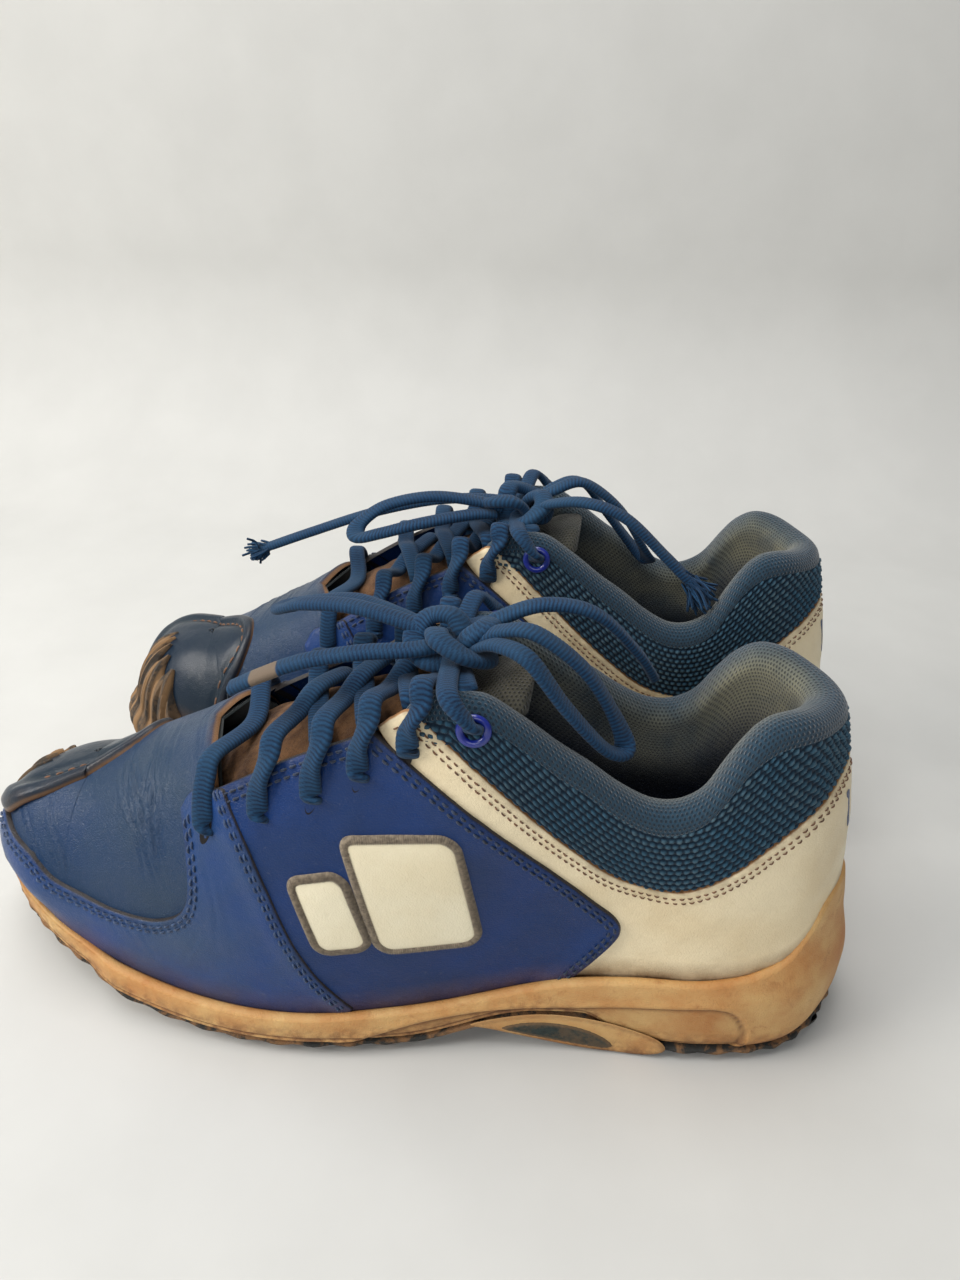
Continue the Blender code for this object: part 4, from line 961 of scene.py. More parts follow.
def make_vamp():
    rows, columns = 170, 130
    plan = forefoot_plan(179.0, rows, columns)
    a, y = plan[..., 0], plan[..., 1]
    turn = np.broadcast_to(np.linspace(-1, 1, columns + 1)[None], a.shape)
    relief = np.zeros(a.shape)
    draw = np.random.RandomState(5)
    for wrinkle in WRINKLES:
        low, high = ([base + spread * draw.rand() for base, spread in end] for end in wrinkle)
        share = (turn - low[0]) / (high[0] - low[0])
        line = low[1] + (high[1] - low[1]) * share + 0.7 * np.sin(share * 9 + draw.rand() * 6)
        fade = np.clip(share * 4, 0, 1) * np.clip((1 - share) * 3, 0, 1)
        gap = np.abs(a - line)
        width = draw.uniform(0.35, 0.6)
        relief += draw.uniform(0.2, 0.55) * fade * (-hump(gap, 0, width) + 0.5 * hump(gap, 1.2, 0.7))
    relief += 0.5 * np.sin((a - 205) / 7.5) * smoothstep(196, 204, a) * (1 - smoothstep(222, 236, a)) \
        * np.clip(1 - turn**2, 0, 1) * 0.7
    flat = crown(a, y).reshape(-1, 3)
    normal = outward(flat)
    from_throat = np.linalg.norm(plan - plan[:1], axis=2).ravel()
    offset = 1.2 + 2.1 * rounded(from_throat, 1.4) + relief.ravel() * rounded(from_throat, 5.0)
    offset -= 0.25 * (hump(from_throat, 3.4, 0.7) + hump(from_throat, 5.2, 0.7))
    points = flat + normal * (offset + fullness(flat))[:, None]
    tone = np.clip(np.exp(-(((a - 212) / 20)**2 + ((y + 5) / 26)**2)), 0, 1)
    values = {"edge": from_throat, "height": points[:, 2] - lip(points[:, 0]),
              "uvw": np.column_stack([a.ravel(), y.ravel(), a.ravel() * 0]), "tone": tone.ravel() * 0.8}
    both("vamp", points, [grid_faces(rows + 1, columns + 1)], "vamp", ["vamp"],
         attributes=values, normals=normal)


# The toe cap's rear seam seen from above, from the outer side to the inner side.
CAP_SEAM = [(267.5, 4.6), (265.6, 0.6), (261.7, -3.4), (257.7, -6.2), (248.5, -6.6), (240, -4),
            (232, -0.5), (225, 3.5), (219.5, 9), (217.5, 16), (220.5, 22), (226, 26.5), (228, 30),
            (226, 33.5), (221, 36.5)]
CAP_STITCH_DEPTH, CAP_STITCH_LIFT, CAP_STITCH_PITCH = 4.9, 3.5, 3.1
CAP_SMOOTHING = 60  # rounds of smoothing, which leave the band along the seam alone


def make_toe_cap():
    centre = np.array(TOE_POLE)
    seam = resample(catmull(CAP_SEAM, 12), np.linspace(0, 1, 110))
    start, end = -0.991, q_at(221.0, 1)
    t = np.linspace(0, 1, 150)[1:-1]
    q = np.where(t < 0.5, end + (1 - end) * t * 2, -1 + (1 + start) * (t - 0.5) * 2)
    front = np.array([side_point(UPPER_OUTER if k < 0 else UPPER_INNER, abs(k)) for k in q])
    edge = np.vstack([seam, front])
    rings = 46
    t = np.sin(np.linspace(0, 1, rings + 1)[1:] * math.pi / 2)**(2 / 2.3)
    plan = centre + (edge[None] - centre) * t[:, None, None]
    around = crown(plan[..., 0], plan[..., 1]).reshape(-1, 3)
    points = np.vstack([crown(np.array([centre[0]]), np.array([centre[1]])), around])
    normal = outward(points)
    normal[0] = (0, 0, 1)
    gap, _ = segment_distance(points[:, :2], seam, closed=False)
    rib = hump(gap, 2.2, 1.7, 4)
    offset = 2.4 + 1.5 * rounded(gap, 1.0) + 1.5 * rib - 0.55 * hump(gap, 5.2, 0.9)
    offset += 0.4 * hump(gap, 8.0, 2.0)
    over = 1.6 * smoothstep(226, 252, points[:, 0]) * (1 - smoothstep(-2, 14, points[:, 1]))
    offset += over * (1 - smoothstep(52, 60, points[:, 2]))
    count = len(edge)
    free = np.clip((gap[1:].reshape(rings, count) - 4.5) / 5, 0, 1)
    free = free * np.linspace(1, 0.2, rings)[:, None]**0.3
    points = points + normal * (offset + fullness(points))[:, None]
    for _ in range(CAP_SMOOTHING):
        grid = points[1:].reshape(rings, count, 3)
        inner = np.concatenate([np.broadcast_to(points[:1], (1, count, 3)), grid[:-1]])
        outer = np.concatenate([grid[1:], grid[-1:]])
        mean = (np.roll(grid, 1, 1) + np.roll(grid, -1, 1) + inner + outer) / 4
        grid = grid + (mean - grid) * 0.5 * free[..., None]
        points = np.vstack([grid[0].mean(0)[None], grid.reshape(-1, 3)])
    j = np.arange(count)
    fan = np.stack([np.zeros(count, int), 1 + j, 1 + (j + 1) % count], 1)
    quads = grid_faces(rings, count, wrap=True) + 1
    low = np.clip(1 - (points[:, 2] - 26) / 18, 0, 1)
    values = {"edge": gap, "height": points[:, 2] - lip(points[:, 0]) - 12,
              "tone": np.clip(hump(gap, 5.2, 1.4) * 0.8 + low * 0.5, 0, 1)}
    both("toe_cap", points, [fan, quads], "toe_cap", ["toe_cap"], attributes=values,
         normals=normal)
    tangent = unit(np.gradient(seam, axis=0))
    to_toe = np.stack([tangent[:, 1], -tangent[:, 0]], 1)
    if ((centre - seam) * to_toe).sum() < 0:
        to_toe = -to_toe
    line = seam + to_toe * CAP_STITCH_DEPTH
    line = line[segment_distance(line, seam, closed=False)[0] > 0.93 * CAP_STITCH_DEPTH]
    size = np.linalg.norm(np.diff(line, axis=0), axis=1).sum()
    for k in range(int(size / CAP_STITCH_PITCH)):
        at = resample(line, (np.linspace(0, 2.4, STITCH_RINGS) + k * CAP_STITCH_PITCH) / size)
        base = crown(at[:, 0], at[:, 1])
        up = outward(base)
        arch = np.array([-0.4, 0.15, 0.3, 0.15, -0.4]) + CAP_STITCH_LIFT
        stitch_tube(base + up * (arch + fullness(base))[:, None], up, 0.36, "tan")


def outline_point(index):
    """Plan points of the sole's outline at these positions in OUTLINE, and their outward normals."""
    index = np.asarray(index, float) % len(OUTLINE)
    k = index.astype(int)
    t = (index - k)[:, None]
    here, after, before = OUTLINE[k], OUTLINE[(k + 1) % len(OUTLINE)], OUTLINE[(k - 1) % len(OUTLINE)]
    step = unit(after - before)
    return here * (1 - t) + after * t, np.stack([step[:, 1], -step[:, 0]], 1)


def level_normals(normal, rows):
    """The plan normals of an outline, level, for each row of a grid that stands on it."""
    return np.repeat(np.column_stack([normal, np.zeros(len(normal))])[None], rows, 0).reshape(-1, 3)


def foot_q(feet):
    """The q of the wall that stands on each plan point of the upper's outline."""
    tables = [(side, curve, travelled(curve)) for side, curve in UPPER_FEET]
    out = []
    for foot in feet:
        best = []
        for side, curve, length in tables:
            gap = np.linalg.norm(curve - foot, axis=1)
            k = int(np.argmin(gap))
            best.append((gap[k], side * (length[k] / length[-1])))
        out.append(min(best)[1])
    return np.array(out)


def make_toe_bumper():
    first = int(np.argmin(abs(OUTLINE[:TIP + 1, 0] - 275.5)))
    last = TIP + int(np.argmin(abs(OUTLINE[TIP:, 0] - 243)))
    columns, ribs = 260, 13
    s = np.linspace(first, last, columns)
    t = (s - first) / (last - first)
    point, normal = outline_point(s)
    a = point[:, 0]
    fade = np.clip(7 * np.minimum(t, 1 - t), 0, 1)**0.7
    scallop = 2.2 * np.sin(math.pi * ribs * t + 1.3) * fade
    top = lip(a) + 5 + 19 * fade * smoothstep(238, 262, a) + scallop
    q = foot_q(point - normal * UPPER_INSET)
    grid, tones = [], []
    levels = np.linspace(0, 1, 34)
    low = midsole_bottom(a) + 0.6
    wall_start = lip(a) + 3.0
    for f in levels:
        wave = np.sin(math.pi * ribs * t + 0.6 * np.sin(7 * t) + 1.3 * f)
        if f < 0.42:
            z = low + (wall_start - low) * (f / 0.42)
            belly = 1 + 0.5 * np.sin(math.pi * f / 0.42)
            rib = 0.75 * np.abs(wave)**0.7 * fade * belly
            at = point + normal * (-1.6 + rib + 0.9 * np.sin(math.pi * f / 0.42))[:, None]
            row = np.column_stack([at, z])
        else:
            g = (f - 0.42) / 0.58
            z = np.minimum(wall_start + (top - wall_start) * g, top)
            base = wall(q, z)
            push = outward(base)
            rib = 0.75 * np.abs(wave)**0.7 * fade * (1 - g**3)
            out = 6.0 + rib - 1.2 * g**6 - 0.3 * g + fullness(base) * (1 - 0.6 * g)
            row = base + push * out[:, None]
        grid.append(row)
        tones.append(np.clip(np.sin(math.pi * ribs * 1.3 * t + 2.0 * f + 1) * 1.3, 0, 1) * fade)
    inner = wall(q, top)
    inner = inner + outward(inner) * (3.4 + fullness(inner))[:, None]
    grid.append(inner)
    tones.append(tones[-1])
    grid = np.array(grid)
    # Soften the step between the sole's side and the wall above it.
    for _ in range(3):
        grid[10:20] = (grid[9:19] + grid[10:20] * 2 + grid[11:21]) / 4
    both("toe_bumper", grid.reshape(-1, 3), [grid_faces(len(grid), columns)], "bumper",
         ["toe_bumper"], attributes={"tone": np.array(tones).ravel() * 0.75},
         normals=level_normals(normal, len(grid)))


# ---------------------------------------------------------------- the sole

def sole_ring(count):
    """Even plan points round the sole's outline, and their outward normals."""
    return outline_point(np.linspace(0, len(OUTLINE), count, endpoint=False))


def hug(plan, q, z, away):
    """Points at these heights, drawn in to the upper's wall where the foam climbs the heel."""
    base = wall(q, z)
    near = base + outward(base) * away
    weight = (smoothstep(24, 44, z) * (1 - smoothstep(45, 80, plan[:, 0])))[:, None]
    return np.column_stack([plan * (1 - weight) + near[:, :2] * weight, z])


# The groove round the sunken panel in the midsole's side, as (a, z).
PANEL_LINE = [(150, 4.5), (144.4, 6.0), (134, 10), (124.9, 13.0), (112, 15.6), (104.7, 16.6),
              (85.7, 18.6), (64.0, 21.3), (46, 23.6), (40, 23.4), (36.0, 21.5), (33.0, 16.5),
              (32.2, 11.5), (34.5, 6), (38, 3)]


def make_midsole():
    point, normal = sole_ring(520)
    a = point[:, 0]
    q = foot_q(point - normal * UPPER_INSET)
    low = midsole_bottom(a) - recess(a)
    high = lip(a) + 1.6 * smoothstep(16, 26, a) * (1 - smoothstep(80, 110, a))
    grid, tones, heights = [], [], []
    line = catmull(PANEL_LINE, 10)
    sunken = np.vstack([line, [(90, 0)]])
    for f in np.linspace(0, 1, 46):
        z = low + (high - low) * f
        inset = 0.25 + toe_cut(a) + 2.0 * (1 - min(1, f / 0.16))**2 + 1.0 * f**3
        gap, _ = segment_distance(np.column_stack([a, z]), line, closed=False)
        in_panel = inside(np.column_stack([a, z]), sunken)
        groove = hump(gap, 0, 0.75)
        bead = hump(gap, 2.0, 1.2) * ~in_panel
        inset = inset + 0.75 * groove + 0.8 * in_panel * rounded(gap, 3.0) - 0.35 * bead
        ledge = hump(z - low, 2.4, 0.35)
        inset = inset + 0.45 * ledge
        grid.append(hug(point - normal * inset[:, None], q, z, 5.4 + 2.6 * (1 - f)))
        tones.append(np.clip(groove * 0.75 + 0.8 * ledge + in_panel * 0.12, 0, 1))
        heights.append(z - low)
    for depth, drop in ((1.9, 0.55), (2.9, 0.75), (3.9, 0.5), (4.8, -0.4), (5.6, -2.2)):
        plan = point - normal * (depth + toe_cut(a) * 0.4)[:, None]
        grid.append(hug(plan, q, high + drop, 5.6 - 0.5 * depth))
        # Painted shade: the rows that tuck in under the upper get a dark tone.
        tones.append(np.full(len(a), 0.0 if depth < 4 else 0.75))
        heights.append(high - low + 3)
    under = [np.column_stack([point - normal * (6.5 + toe_cut(a))[:, None], low + recess(a)]),
             np.column_stack([point - normal * (3.0 + toe_cut(a))[:, None], low])]
    grid = np.array(under + grid)
    # Painted shade: the two rows underneath get a dark tone.
    tones = [np.full(len(a), 0.6)] * 2 + tones
    heights = [np.zeros(len(a))] * 2 + heights
    values = {"tone": np.array(tones).ravel(), "height": np.array(heights).ravel()}
    both("midsole", grid.reshape(-1, 3), [grid_faces(len(grid), len(a), wrap=True)], "foam",
         ["midsole"], attributes=values, normals=level_normals(normal, len(grid)))


def make_outsole():
    """A skirt of rubber round the tread plate; the tread's lugs are rounded blocks."""
    point, normal = sole_ring(420)
    a = point[:, 0]
    base = base_height(a)
    top = base + OUTSOLE_PLATE
    arch = smoothstep(60, 70, a) * (1 - smoothstep(124, 136, a))
    wobble = 0.35 * np.sin(np.arange(len(a)) * 0.9) * (1 - arch)
    rows = [(3.2, top - 0.1), (1.2 + wobble, top - 0.25), (0.7 + wobble, top - 0.9),
            (1.0 + wobble, base + 0.3), (2.2, base - 0.1), (5.0, base)]
    grid = [np.column_stack([point - normal * (np.zeros(len(a)) + inset + toe_cut(a) * 0.9)[:, None], z])
            for inset, z in rows]
    mirror = np.array([len(a) - k if k else 0 for k in range(len(a))])
    last = grid[-1]
    for share in (0.75, 0.5):
        across = last * share + last[mirror % len(a)] * (1 - share)
        across[:, 2] = base_height(across[:, 0])
        grid.append(across)
    grid = np.array(grid)
    points, faces = [grid.reshape(-1, 3)], [grid_faces(len(grid), len(a), wrap=True)]
    tone = [np.zeros(grid.shape[0] * grid.shape[1])]
    total = len(points[0])
    outer, inner = sides(3.4)
    for centre_a in np.concatenate([np.arange(14, 64, 11.0), np.arange(138, 262, 11.0)]):
        left = np.interp(centre_a, outer[:, 0], outer[:, 1])
        right = np.interp(centre_a, inner[:, 0], inner[:, 1])
        lanes = 4
        width = (right - left) / lanes
        if width < 6:
            lanes = 3
            width = (right - left) / lanes
        for k in range(lanes):
            y = left + width * (k + 0.5)
            middle = np.array([centre_a + (2.2 if k % 2 else -2.2), y])
            size = np.array([4.6, width / 2 - 1.1])
            block, block_faces = lug(middle, size)
            points.append(block)
            faces.append(block_faces + total)
            tone.append(np.zeros(len(block)))
            total += len(block)
    both("outsole", np.vstack(points), [np.vstack(faces)], "outsole", ["outsole"],
         attributes={"tone": np.concatenate(tone)}, normals=None)


def lug(middle, size):
    """An eight-cornered tread block that hangs from the plate down to the ground."""
    corners = np.array([(1, 0.55), (0.55, 1), (-0.7, 1), (-1, 0.5), (-1, -0.55), (-0.55, -1), (0.7, -1),
                        (1, -0.5)])
    rows = []
    for share, spread in ((0.0, 1.0), (0.35, 0.97), (0.75, 0.9), (0.93, 0.82), (1.0, 0.68)):
        plan = middle + corners * size * spread
        base = base_height(plan[:, 0])
        z = base + 0.3 - (LUG_HEIGHT + 0.25) * share
        rows.append(np.column_stack([plan, np.maximum(z, 0.0)]))
    cap = rows[-1].mean(0)
    cap[2] = rows[-1][:, 2].min()
    points = np.vstack([*rows, np.repeat(cap[None], len(corners), 0)])
    faces = grid_faces(len(rows) + 1, len(corners), wrap=True)
    return points, faces


def make_shank():
    """The dark moulded plate under the arch, ribbed across."""
    outer, inner = sides(2.2)
    across = np.linspace(0, 1, 40)
    grid = []
    for a in np.linspace(66, 126, 90):
        left = np.interp(a, outer[:, 0], outer[:, 1])
        right = np.interp(a, inner[:, 0], inner[:, 1])
        y = left + (right - left) * across
        z = float(base_height(a)) + OUTSOLE_PLATE - 0.6 + 0.25 * np.sin(a * 2.4) * np.ones(40)
        grid.append(np.column_stack([np.full(40, a), y, z]))
    grid = np.array(grid)
    both("shank_plate", grid.reshape(-1, 3), [grid_faces(*grid.shape[:2])], "shank",
         ["shank_plate"], attributes={"tone": np.zeros(grid.shape[0] * grid.shape[1])},
         normals=np.repeat([[0.0, 0.0, -1.0]], grid.shape[0] * grid.shape[1], 0))


# The shank plate's opening and the lip of foam round it, as (a, z).
WINDOW = [(103, 9.6), (97, 12.0), (88, 12.6), (79, 11.0), (72.5, 7.6), (69.5, 4.0), (72, 2.4), (80, 3.2),
          (90, 5.0), (98, 7.2)]
WINDOW_LIP = [(112, 11.2), (104, 13.6), (92, 15.6), (80, 15.4), (68, 13.0), (57, 9.0), (54, 4.0), (60, 1.0),
              (70, 0.7), (79, 1.3), (90, 3.4), (99, 6.0), (106, 8.6)]


def make_shank_windows():
    """The shank plate's dimpled ends, which show in openings in the foam under the arch."""
    make_shank_window("window", WINDOW, 0.45, "shank")
    make_shank_window("window_lip", WINDOW_LIP, 0.1, "foam")


def make_shank_window(name, guide, out, look):
    outline = catmull(guide, 10, closed=True)
    flat, triangles, outline = fill(outline, 0.8, rings=(0.4,))
    edge, _ = segment_distance(flat, outline)
    index = np.arange(len(OUTLINE))
    dimple = 0.22 * np.sin(flat[:, 0] * 2.6 + flat[:, 1] * 1.5) * np.sin(flat[:, 1] * 2.9 - flat[:, 0])
    for word, mine in (("lateral", index <= TIP), ("medial", index > TIP)):
        near = index[mine]
        order = np.argsort(OUTLINE[near, 0])
        at = np.interp(flat[:, 0], OUTLINE[near, 0][order], near[order])
        plan, normal = outline_point(at)
        away = 0.5 * rounded(edge, 1.0) - 0.6 + out
        if look == "shank":
            away = away + dimple * rounded(edge, 2.0)
        points = np.column_stack([plan + normal * away[:, None], np.maximum(flat[:, 1], 0.3)])
        values = {"tone": np.clip(hump(edge, 0.6, 0.6) * 0.5, 0, 1), "height": points[:, 2]}
        both(f"shank_{name}_{word}", points, [triangles], look, attributes=values,
             normals=np.column_stack([normal, np.zeros(len(normal))]))


def make_footbed():
    """The loose insole: a cloth-covered foam sheet, dished at the heel and worn under the toes."""
    point, normal = sole_ring(260)
    a = point[:, 0]
    base = platform(a) + GAP + BOARD_THICKNESS + GAP
    cup = 2 * (1 - smoothstep(40, 110, a))
    rows = [(12.4, base), (11.6, base + 0.8), (11.3, base + 2.2), (11.7, base + 3.9 + cup),
            (12.6, base + 4.3 + cup), (14.0, base + 4.0 + cup * 0.8), (17.0, base + 3.6 + cup * 0.3)]
    grid = [np.column_stack([point - normal * inset, z]) for inset, z in rows]
    pole = np.column_stack([np.clip(a, 48, 225), axis_point(a)[1]])
    for share in (0.8, 0.6, 0.4, 0.2, 0.04):
        plan = grid[6][:, :2] * share + pole * (1 - share)
        worn = np.exp(-(((plan[:, 0] - 195) / 30)**2 + (plan[:, 1] / 20)**2))
        z = platform(plan[:, 0]) + GAP + BOARD_THICKNESS + GAP + 3.5 - 0.8 * worn
        grid.append(np.column_stack([plan, z]))
    grid = np.array(grid)
    flat = grid.reshape(-1, 3)
    values = {"uvw": flat, "tone": np.zeros(len(flat)), "edge": np.full(len(flat), 0.8)}
    both("footbed", flat, [grid_faces(len(grid), len(a), wrap=True)], "footbed", ["footbed"],
         body="footbed", attributes=values, normals=None)


# ---------------------------------------------------------------- the collar

# The top of the collar's roll, as (a, z), from its front corner to the heel.
RIM = [(131, 115.2), (126, 118.4), (119, 120.8), (111, 120.6), (101, 114.8), (90.7, 107.2), (82.6, 102.2),
       (74.5, 96.8), (62.3, 92.2), (54.2, 93.6), (47.2, 98.4), (41.4, 106.5), (36.3, 113.0), (30, 117.0),
       (22.5, 118.0), (14.8, 116.6), (9.9, 115.6)]
COLLAR_FRONT = 131.0


def collar_columns(step):
    """u, side and foot a of even columns from the collar's outer front end to its inner front end."""
    ends = [q_at(COLLAR_FRONT, side) * GIRTH for side in (-1, 1)]
    count = int((ends[1] - ends[0]) / step)
    u = np.linspace(ends[0], ends[1], count)
    a = np.empty(count)
    for side, curve in UPPER_FEET:
        length = travelled(curve)
        mine = (u < 0) if side < 0 else (u >= 0)
        a[mine] = np.interp(np.abs(u[mine]) / GIRTH, length / length[-1], curve[:, 0])
    return u, a


def rim_height(a):
    return along(sorted(RIM), a)


def wrap_top_height(a):
    """The height of the white leather's top edge, which the knit rises from."""
    order = sorted([(9.9, 97.2)] + [(p, z) for p, z in WRAP_TOP if p < 127])
    return along(order, np.minimum(a, 127))


LIP_RADIUS = 5.6
KNIT_OUT = 3.6  # from the inside of the lining
KNOB_WIDTH, KNOB_HEIGHT = 2.3, 1.9
KNIT_ROWS = 84


def make_collar():
    """The coarse knit: rows of knobs set in brick fashion, tucked in at the leather and the lip."""
    u, a = collar_columns(0.47)
    rim = rim_height(a)
    seam = rim - LIP_RADIUS
    start = np.minimum(wrap_top_height(a) - 3.0, seam - 2)
    z = start + (seam - start) * np.linspace(0, 1, KNIT_ROWS)[:, None]
    s = np.broadcast_to(u[None], z.shape)
    t = z - start
    row = np.floor(t / KNOB_HEIGHT)
    phase = s / KNOB_WIDTH + 0.5 * (row % 2)
    knob = np.clip(0.8 + 0.8 * np.cos(2 * math.pi * phase), 0, 1)
    knob = knob * np.clip(0.6 - 0.8 * np.cos(2 * math.pi * t / KNOB_HEIGHT), 0, 1)
    slant = 0.5 + 0.5 * np.cos(2 * math.pi * (s / (KNOB_WIDTH * 2) + t / (KNOB_HEIGHT * 2)))
    knob = knob * (0.75 + 0.4 * slant)
    edge = np.minimum(t, seam - z)
    side_edge = np.minimum(u - u[0], u[-1] - u)[None]
    tuck = rounded(seam - z, 2.2)
    offset = KNIT_OUT + 0.9 * knob * rounded(edge, 1.0) + 0.8 * tuck - 0.5
    offset = offset - 2.4 * (1 - rounded(side_edge, 4.0)) - 2.0 * (1 - smoothstep(2.3, 3.5, t))
    flat = np.column_stack([s.ravel(), z.ravel()])
    points, normal = lift(flat, offset.ravel())
    # knob also paints the knit lighter on the knob tops (painted highlight) and darker between them (painted
    # shade).
    values = {"knob": knob.ravel(), "edge": edge.ravel(), "tone": np.zeros(len(flat)),
              "uvw": np.column_stack([flat, np.zeros(len(flat))])}
    both("collar_cover", points, [grid_faces(KNIT_ROWS, len(u))], "collar",
         ["collar_cover"], attributes=values, normals=normal)


def make_lining():
    """The mesh lining: a soft roll over the collar's top, then down inside to the footbed."""
    u, a = collar_columns(1.5)
    rim = rim_height(a)
    seam = rim - LIP_RADIUS
    front = 1 - rounded(np.minimum(u - u[0], u[-1] - u), 8.0)
    rows = []
    outside = KNIT_OUT + 0.7
    inside_at = -7.0 * (1 - 0.55 * front)
    middle = (outside + inside_at) / 2
    half = (outside - inside_at) / 2
    for turn in np.linspace(0, 1, 24):
        angle = math.pi * turn
        z = seam - 0.6 + (LIP_RADIUS + 0.6) * math.sin(angle)**0.85 * (1 - 0.25 * front)
        rows.append((z, middle + half * math.cos(angle) - 2.4 * front * (1 - turn)))
    floor = platform(a) + 3.0
    for f in np.linspace(0, 1, 44)[1:]:
        z = seam + (floor - seam) * f
        pad = inside_at * (1 - smoothstep(0.12, 0.62, f)) - 0.1 * smoothstep(0.4, 0.8, f)
        pad = pad + 0.35 * np.sin(u * 0.09 + f * 5) * math.sin(math.pi * f)
        rows.append((z, pad))
    z = np.array([row[0] for row in rows])
    offset = np.array([row[1] + 0 * u for row in rows])
    s = np.broadcast_to(u[None], z.shape)
    rise = np.hypot(np.diff(z, axis=0), np.diff(offset, axis=0)).mean(1)
    steps = np.concatenate([[0], np.cumsum(rise)])
    flat = np.column_stack([s.ravel(), z.ravel()])
    base = wall(flat[:, 0] / GIRTH, flat[:, 1])
    normal = outward(base)
    fade = np.repeat(1 - smoothstep(24, 40, np.arange(len(rows))), len(u))
    points = base + normal * (offset.ravel() + swell(base) * fade)[:, None]
    down = np.repeat(steps, len(u))
    deep = np.clip((rim[None] - z - 12) / 32, 0, 1).ravel() * 0.55
    below = np.repeat(steps, len(u)) - steps[12]
    dusty = smoothstep(-4, 9, below) * (0.55 + 0.45 * (1 - smoothstep(20, 75, np.tile(a, len(rows)))))
    values = {"uvw": np.column_stack([flat[:, 0], down, np.zeros(len(flat))]), "tone": deep,
              "edge": dusty}
    both("lining", points, [grid_faces(len(rows), len(u))], "lining", ["lining"],
         attributes=values, normals=normal)


def make_padding():
    """The foam between the knit and the lining, which is seen only if they are hidden."""
    u, a = collar_columns(4.0)
    rim = rim_height(a)
    front = 1 - rounded(np.minimum(u - u[0], u[-1] - u), 14.0)
    low, high = np.minimum(wrap_top_height(a), rim - 14) - 2, rim - LIP_RADIUS
    middle = (low + high) / 2
    rows = []
    for angle in np.linspace(0, 2 * math.pi, 17)[:-1]:
        z = middle + (high - low) / 2 * math.sin(angle) * (1 - 0.4 * front)
        offset = (-1.6 + 2.6 * math.cos(angle) * (1 - 0.6 * front)) + 0 * u
        rows.append((z, offset))
    z = np.array([row[0] for row in rows])
    offset = np.array([row[1] for row in rows])
    s = np.broadcast_to(u[None], z.shape)
    base = wall(s.ravel() / GIRTH, z.ravel())
    normal = outward(base)
    points = base + normal * (offset.ravel() + swell(base) * 0.6)[:, None]
    faces = np.vstack([grid_faces(len(rows), len(u)), last_strip(len(rows), len(u))])
    both("collar_foam", points, [faces], "padding", ["collar_foam"], normals=None)


def last_strip(rows, columns):
    """The faces that close a sheet's last row onto its first."""
    k = np.arange(columns - 1)
    end = (rows - 1) * columns
    return np.stack([end + k, end + k + 1, k + 1, k], -1)


# ---------------------------------------------------------------- the tongue

# The height of the tongue's ridge, as (a, z), and where the tongue starts inside the vamp.
TONGUE_LINE = [(96, 122), (108, 118), (120, 112.5), (138, 106.5), (152, 101.5), (166, 95),
               (178, 88.5), (190, 82.5)]
TONGUE_START = 202.0
TEAR = 2.2  # how far the facing's torn end is ragged


def tongue_sides(a):
    """The y of the tongue's outer and inner edge, just inside the quarters."""
    top = float(along(TONGUE_LINE, a))
    widths = []
    for side in (-1, 1):
        shell = wall(q_at(max(a, 119.0), side), min(top - 5, 106.0))
        widths.append(shell[1] - side * 3.4)
    return widths


def make_tongue():
    """The suede face and the mesh-covered pad, each a closed crowned form."""
    for name, look, top_drop, thick, narrow, last in (
            ("tongue_facing", "suede", -0.3, 1.6, 0.0, 126.0),
            ("tongue_pad", "tongue_mesh", 1.6, 5.2, 0.8, 99.0)):
        rows, columns = 110, 48
        facing = name == "tongue_facing"
        rings = []
        draw = np.random.RandomState(8)
        knots = np.arange(0, rows, 5)
        ragged = np.interp(np.arange(rows), knots, draw.uniform(-0.6, 0.5, len(knots)))
        for k, a in enumerate(np.linspace(TONGUE_START, last, rows)):
            low, high = tongue_sides(a)
            end = rounded(np.array([min(a - last + 0.5, TONGUE_START + 1 - a)]), 7.0)[0]
            middle, half = (low + high) / 2, (high - low) / 2 - narrow + ragged[k] * facing
            half = half * (0.55 + 0.45 * end)
            under_vamp = 0.6 * max(0.0, a - 188)
            top = float(along(TONGUE_LINE, a)) - top_drop - under_vamp - 3.0 * smoothstep(184, 194, a)
            angle = round_angles(columns)
            across = squared(np.cos(angle), 0.75)
            up = squared(np.sin(angle), 0.8)
            sag = 5.0 * across**2
            z = top - sag - thick / 2 + up * thick / 2 * end
            z = z + 0.25 * np.sin(a * 0.8 + across * 4) * (up > 0)
            torn = TEAR * np.sin(across * 9 + 1.7) * smoothstep(last + 12, last, a) if facing else 0.0
            rings.append(np.column_stack([a + 0.8 * across**2 + torn, middle + half * across, z]))
        flat = np.vstack(rings)
        caps = [np.arange(columns)[None, ::-1], np.arange((rows - 1) * columns, rows * columns)[None]]
        values = {"uvw": np.column_stack([flat[:, 0], flat[:, 1], np.zeros(len(flat))]),
                  "tone": np.zeros(len(flat)),
                  "edge": np.full(len(flat), 0.8)}
        both(name, flat, [grid_faces(rows, columns, wrap=True), *caps], look, [name], body="tongue",
             attributes=values)


# ---------------------------------------------------------------- laces

LACE_HOLES = [(184.8, 73.2), (168.5, 81.4), (154, 89.2), (141, 97.2), (128.4, 105.4)]
EYELET_AT = (112.5, 113.4)
KNOT = np.array([121.0, 0.0, 121.5])
# The edge of the facings, which the laces run over, as (a, z).
FACING_LINE = [(112, 121), (119, 120), (130, 117), (139, 112), (152, 104.5), (166, 97), (178, 89.5),
               (188, 84)]
BRAID_PITCH = 1.15


